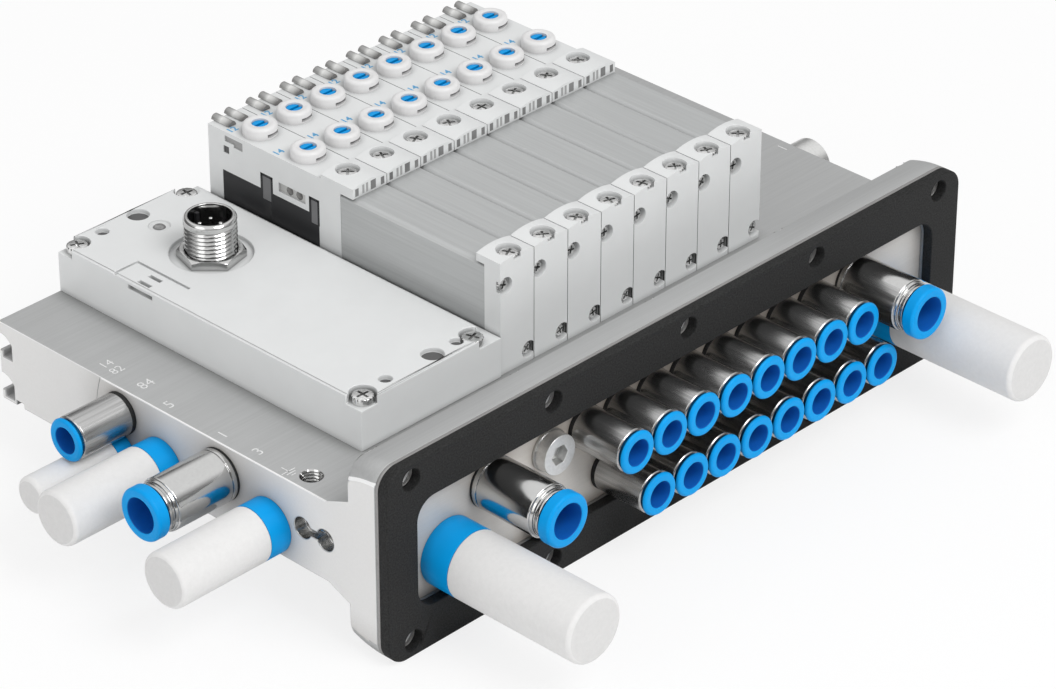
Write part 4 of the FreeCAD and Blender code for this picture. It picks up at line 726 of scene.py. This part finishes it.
# Left and right side of each vent slot, from a valve's middle, as shares of its width
VENTS = ((-0.43, -0.33), (-0.22, -0.16), (-0.11, -0.05), (0.03, 0.18), (0.33, 0.43))
SLIM_VENT = 0.08
CROWN_DIAMETER = 38.6
HEAD_REAR, HEAD_TOP = 114.0, 37.4
PANE_FRONT, PANE_REAR, PANE_LOW, PANE_HIGH = 87.0, 95.6, 28.8, 31.1
LENS_PLACES, LENS_HEIGHT = (89.3, 92.4), 0.02995  # along the valve in mm, height in metres
SEAM_FRONT, SEAM_REAR, SEAM_LOW, SEAM_HIGH = 82.2, 118.2, 30.0, 37.3
WIDE_SEAMS = (1, 4, 6)  # seams between valves that look dark
HOLE_INSET, HOLE_SIDE, HOLE_NEAR, SMALL_HOLE, LARGE_HOLE = 3.3, 10.6, 3.4, 3.1, 5.2
EARTH_PLACE = (-0.0866, 0.0272, 0.010)  # in metres
EARTH_MOUTH, EARTH_ROOT, EARTH_RIDGE, EARTH_PITCH = 2.49, 2.2, 0.25, 0.8


def plates(name, boxes, entry, material):
    """Thin plates given by two corners in mm, as one piece."""
    copies = []
    for low, high in boxes:
        sizes = [high[i] - low[i] for i in range(3)]
        copies.append((slab(*sizes, [(high[i] + low[i]) / 2 for i in range(3)]), UNTURNED))
    return add_piece(name, joined(copies), entry, material=material)


metal = [(low / MM, high / MM) for low, high in islands("valve_bodies")]
covers = [(low / MM, high / MM) for low, high in islands("end_covers")]
blocks = [(low / MM, high / MM) for low, high in islands("pilot_housings")]
valve_width = metal[0][1][0] - metal[0][0][0]
valve_roof = metal[0][1][2]
vents, slim_vents = [], []
for low, high in blocks:
    line = (low[0] + high[0]) / 2
    for start, end in VENTS:
        crown = high[2] - ((start + end) / 2 * valve_width) ** 2 / CROWN_DIAMETER
        (slim_vents if end - start < SLIM_VENT else vents).append(
            ((line + start * valve_width, low[1] - 0.02, valve_roof + 0.45),
             (line + end * valve_width, low[1] + 0.02, crown - 0.5)))
plates("vent_insides", vents, "black_plastic", vent_shade)
# Painted shade in the slim vents
plates("slim_vent_insides", slim_vents, "light_plastic", painted_shade_grey)

catches, catch_holes, panes = [], [], []
for low, high in blocks:
    side = low[0]
    catches += [((side + 0.35, HEAD_REAR - 6.9, HEAD_TOP - 3.1),
                 (side + 0.4, HEAD_REAR - 4.0, HEAD_TOP - 1.0)),
                ((side + 0.35, HEAD_REAR - 4.0, HEAD_TOP - 2.4),
                 (side + 0.4, HEAD_REAR - 1.0, HEAD_TOP - 1.0))]
    catch_holes.append(((side + 0.3, HEAD_REAR - 2.3, HEAD_TOP - 5.4),
                        (side + 0.35, HEAD_REAR - 0.5, HEAD_TOP - 3.6)))
    panes.append(((side + 0.45, PANE_FRONT, PANE_LOW), (side + 0.5, PANE_REAR, PANE_HIGH)))
# Painted shade in the side catches
plates("catch_insides", catches, "light_plastic", painted_shade_grey)
# Painted shade in the catch holes
plates("catch_holes", catch_holes, "black_plastic", painted_shade_inside)
plates("window_panes", panes, "light_plastic", pane)
lens_dome = turned([(0, 0), (1.05, 0), (1.05, 0.05, 0.04), (0.6, 0.16, 0.1), (0, 0.2)], 32)
stamped("window_lenses", [(lens_dome, at((low[0] + 0.45) * MM, y * MM, LENS_HEIGHT, LEFT))
                          for low, high in blocks for y in LENS_PLACES], "guide_grey")

# Painted shade: thin black strips on three sides of each coil clip, for the narrow gap round the clip in its
# recess
outlines = []
for low, high in islands("coil_clips"):
    (x, y, z), (_, y1, z1) = low / MM, high / MM
    outlines += [((x - 0.06, y - 0.4, z), (x - 0.02, y + 0.25, z1 + 0.35)),
                 ((x - 0.06, y1 - 0.25, z), (x - 0.02, y1 + 0.4, z1 + 0.35)),
                 ((x - 0.06, y - 0.4, z1 - 0.25), (x - 0.02, y1 + 0.4, z1 + 0.4))]
plates("clip_outlines", outlines, "black_plastic", look["black_plastic"])

dark, pale = [], []
for place in range(VALVES - 1):
    left, right = blocks[place], blocks[place + 1]
    dark.append(((left[1][0], SEAM_FRONT, SEAM_LOW), (right[0][0], SEAM_REAR, SEAM_HIGH)))
    left, right = metal[place], metal[place + 1]
    seam = ((left[1][0], left[0][1], left[0][2]), (right[0][0], left[1][1], left[1][2] - 0.45))
    (dark if place in WIDE_SEAMS else pale).append(seam)
    left, right = covers[place], covers[place + 1]
    dark.append(((left[1][0], left[0][1] + 0.35, left[0][2]),
                 (right[0][0], left[0][1] + 0.6, left[1][2] - 1.2)))
plates("dark_seams", dark, "black_plastic", deep_shade)
plates("pale_seams", pale, "grey_aluminium", look["grey_aluminium"])

lid_low, lid_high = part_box("interface_housing")
lid_top = lid_high[2] / MM
front_row, rear_row = lid_low[1] / MM + HOLE_INSET, lid_high[1] / MM - HOLE_INSET
holes = [(CONNECTOR_LINE, rear_row, LARGE_HOLE), (CONNECTOR_LINE - HOLE_SIDE, rear_row, SMALL_HOLE),
         (CONNECTOR_LINE - HOLE_SIDE, front_row, SMALL_HOLE),
         (CONNECTOR_LINE + HOLE_SIDE, front_row, SMALL_HOLE),
         (CONNECTOR_LINE + HOLE_NEAR, front_row, LARGE_HOLE)]
# Discs of painted shade on the floors of the lid's holes
add_piece("hole_insides", joined([(turned([(0, 0), (size / 2, 0), (size / 2, 0.05), (0, 0.05)], 40),
                                   at(x * MM, y * MM, (lid_top - 1.2) * MM)) for x, y, size in holes]),
          "black_plastic", material=painted_shade_inside)
slits = [((low[0] + high[0]) / 2 / MM, (low[1] + high[1]) / 2 / MM, low[2] / MM)
         for low, high in islands("override_caps")]
add_piece("cap_slits", joined([(slab(SLIT_LENGTH, 0.05, SLIT_HEIGHT, (SLIT_X, -3.22, SLIT_Z)),
                                at(x * MM, y * MM, z * MM)) for x, y, z in slits]),
          "black_plastic", material=vent_shade)


def earth_ridges(radius, height, turn):
    """Ridges of the earth hole's thread, below its smooth mouth."""
    if radius > EARTH_ROOT + 0.1:
        return 0
    return EARTH_RIDGE * abs(2 * ((height / EARTH_PITCH - turn / (2 * math.pi)) % 1) - 1)


earth = turned([(EARTH_MOUTH, -6), (EARTH_MOUTH, -0.03)]
               + [(EARTH_ROOT, -0.35 - 0.1 * step) for step in range(57)], 48, earth_ridges)
stamped("earth_thread", [(earth, at(*EARTH_PLACE))], "nickel_brass")


# Numbers and signs

def lettering(text, size, fatter=0.0):
    """Flat characters round the origin, a hair thick, as a mesh in metres."""
    curve = bpy.data.curves.new("lettering", "FONT")
    curve.body = text
    curve.size = size * MM
    curve.align_x = curve.align_y = "CENTER"
    curve.extrude = 0.01 * MM
    curve.offset = fatter * MM
    curve.resolution_u = 3
    return settled(loose(curve))


def strokes(lines, width):
    """Sign made of straight strokes given as (x, y, x, y) in mm."""
    bm = bmesh.new()
    for x0, y0, x1, y1 in lines:
        along = Vector((x1 - x0, y1 - y0))
        bar = slab(along.length + width, width, 0.02, ((x0 + x1) / 2, (y0 + y1) / 2, 0),
                   math.atan2(along.y, along.x))
        bm.from_mesh(bar)
    mesh = bpy.data.meshes.new("strokes")
    bm.to_mesh(mesh)
    bm.free()
    return mesh


# Text, its size in mm and its place in metres
RAIL_NUMBERS = (("14\n82", 3.4, -0.0867, 0.0897), ("5", 4.0, -0.0884, 0.0693), ("1", 4.0, -0.0886, 0.0522),
                ("3", 4.0, -0.0879, 0.042), ("1", 4.0, 0.0885, 0.0506), ("84", 4.0, -0.0862, 0.0791))
EARTH_SIGN = ((-1.8, 0, 1.8, 0), (-1.1, -0.8, 1.1, -0.8), (-0.5, -1.6, 0.5, -1.6), (0, 0, 0, 2.0))
EARTH_SIGN_X, EARTH_SIGN_Y, STROKE = -0.0888, 0.0319, 0.25
OVERRIDE_NUMBERS = (("12", 0.1123), ("14", 0.0972))
NUMBER_SIZE, NUMBER_FATTER, NUMBER_OFFSET = 2.7, 0.05, -0.0034
PRINT_HEIGHT = 0.00002

engraved = new_material("engraved_bright", (0.86, 0.86, 0.86), 0.3, 0.4)
shade_colour(engraved, noise(engraved, 2600, detail=2), (0.7, 0.7, 0.7), (0.95, 0.95, 0.95))
printed = new_material("printed_blue", (0.10, 0.38, 0.66), 0.5)
shade_colour(printed, noise(printed, 3000, detail=2), (0.08, 0.35, 0.62), (0.14, 0.42, 0.70))
rail_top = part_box("interface_housing")[0][2] + PRINT_HEIGHT
marks = [(lettering(text, size), at(x, y, rail_top)) for text, size, x, y in RAIL_NUMBERS]
marks.append((strokes(EARTH_SIGN, STROKE), at(EARTH_SIGN_X, EARTH_SIGN_Y, rail_top)))
add_piece("rail_marks", joined(marks), "anodised_rail", material=engraved)
head_top = islands("override_caps")[0][0][2] + PRINT_HEIGHT
numbers = [(lettering(text, NUMBER_SIZE, NUMBER_FATTER),
            at((low[0] + high[0]) / 2 + NUMBER_OFFSET, y, head_top))
           for low, high in islands("valve_seals") for text, y in OVERRIDE_NUMBERS]
add_piece("override_numbers", joined(numbers), "light_plastic", material=printed)


# Camera, light and floor

AZIMUTH, ELEVATION = math.radians(-45.95), math.radians(31.13)
TARGET = Vector((-4.3, 44.1, -0.9)) * MM
DISTANCE = 1.020
FOCAL = 156.1
AROUND_STRENGTH = 0.62
FLOOR_DROP, FLOOR_SIZE, FLOOR_GLOW = 0.0001, 6, 0.8
# Height in the reflected surroundings, from below to above, and its grey
REFLECTED = ((0.0, 0.95), (0.49, 0.85), (0.55, 0.14), (0.68, 0.2), (0.82, 1.0))

back = Vector((math.sin(AZIMUTH) * math.cos(ELEVATION), -math.cos(AZIMUTH) * math.cos(ELEVATION),
               math.sin(ELEVATION)))
right = Vector((math.cos(AZIMUTH), math.sin(AZIMUTH), 0))
camera = bpy.data.objects.new("camera", bpy.data.cameras.new("camera"))
camera.data.lens = FOCAL
camera.data.clip_start = 0.05
camera.matrix_world = Matrix.Translation(TARGET + back * DISTANCE) @ Matrix(
    (right, back.cross(right), back)).transposed().to_4x4()
bpy.context.scene.collection.objects.link(camera)
bpy.context.scene.camera = camera


def area_lamp(name, place, aim, size, power):
    """Round lamp of a size in metres and a power in watts, turned to what it lights."""
    lamp = bpy.data.lights.new(name, "AREA")
    lamp.shape = "DISK"
    lamp.size = size
    lamp.energy = power
    obj = bpy.data.objects.new(name, lamp)
    obj.location = place
    obj.rotation_euler = (Vector(aim) - Vector(place)).to_track_quat("-Z", "Y").to_euler()
    bpy.context.scene.collection.objects.link(obj)


area_lamp("key", (0.02, -0.93, 1.17), (0, 0.03, 0), 0.9, 11.7)
area_lamp("fill", (-1.15, 0.05, 0.6), (0, 0.05, 0), 0.9, 2.4)

# White where the camera sees it, a dim white as light, and bands of grey in reflections
world = bpy.data.worlds.new("studio")
bpy.context.scene.world = world
world.use_nodes = True
tree = world.node_tree
tree.nodes.clear()
path = tree.nodes.new("ShaderNodeLightPath")
plain = tree.nodes.new("ShaderNodeBackground")
plain.inputs["Color"].default_value = (1, 1, 1, 1)
plain.inputs["Strength"].default_value = AROUND_STRENGTH
seen = tree.nodes.new("ShaderNodeBackground")
seen.inputs["Color"].default_value = (1, 1, 1, 1)
seen.inputs["Strength"].default_value = 1.0
gloss = tree.nodes.new("ShaderNodeBackground")
coords = tree.nodes.new("ShaderNodeTexCoord")
split = tree.nodes.new("ShaderNodeSeparateXYZ")
ramp = tree.nodes.new("ShaderNodeValToRGB")
for _ in range(len(REFLECTED) - 2):
    ramp.color_ramp.elements.new(0.5)
for element, (place, grey) in zip(ramp.color_ramp.elements, REFLECTED):
    element.position = place
    element.color = (grey, grey, grey, 1)
spread = tree.nodes.new("ShaderNodeMapRange")
spread.inputs["From Min"].default_value = -1
tree.links.new(coords.outputs["Generated"], split.inputs["Vector"])
tree.links.new(split.outputs["Z"], spread.inputs["Value"])
tree.links.new(spread.outputs["Result"], ramp.inputs["Fac"])
tree.links.new(ramp.outputs["Color"], gloss.inputs["Color"])
first = tree.nodes.new("ShaderNodeMixShader")
second = tree.nodes.new("ShaderNodeMixShader")
output = tree.nodes.new("ShaderNodeOutputWorld")
tree.links.new(path.outputs["Is Glossy Ray"], first.inputs["Fac"])
tree.links.new(plain.outputs["Background"], first.inputs[1])
tree.links.new(gloss.outputs["Background"], first.inputs[2])
tree.links.new(path.outputs["Is Camera Ray"], second.inputs["Fac"])
tree.links.new(first.outputs["Shader"], second.inputs[1])
tree.links.new(seen.outputs["Background"], second.inputs[2])
tree.links.new(second.outputs["Shader"], output.inputs["Surface"])

bpy.ops.mesh.primitive_plane_add(size=FLOOR_SIZE, location=(0, 0, cad_box[0][2] - FLOOR_DROP))
floor = bpy.context.object
floor.name = "floor"
floor_look = new_material("pale_floor", (0.93, 0.93, 0.93), 0.9)
shade_colour(floor_look, noise(floor_look, 3), (0.925, 0.925, 0.925), (0.935, 0.935, 0.935))
tree = floor_look.node_tree
glow = tree.nodes.new("ShaderNodeEmission")
glow.inputs["Color"].default_value = (1, 1, 1, 1)
glow.inputs["Strength"].default_value = 1.0
seen_by = tree.nodes.new("ShaderNodeLightPath")
share = tree.nodes.new("ShaderNodeMath")
share.operation = "MULTIPLY"
share.inputs[1].default_value = FLOOR_GLOW
blend = tree.nodes.new("ShaderNodeMixShader")
tree.links.new(seen_by.outputs["Is Camera Ray"], share.inputs[0])
tree.links.new(share.outputs["Value"], blend.inputs["Fac"])
tree.links.new(tree.nodes["Principled BSDF"].outputs["BSDF"], blend.inputs[1])
tree.links.new(glow.outputs["Emission"], blend.inputs[2])
tree.links.new(blend.outputs["Shader"], tree.nodes["Material Output"].inputs["Surface"])
floor.data.materials.append(floor_look)

bpy.context.scene.view_settings.view_transform = "Standard"
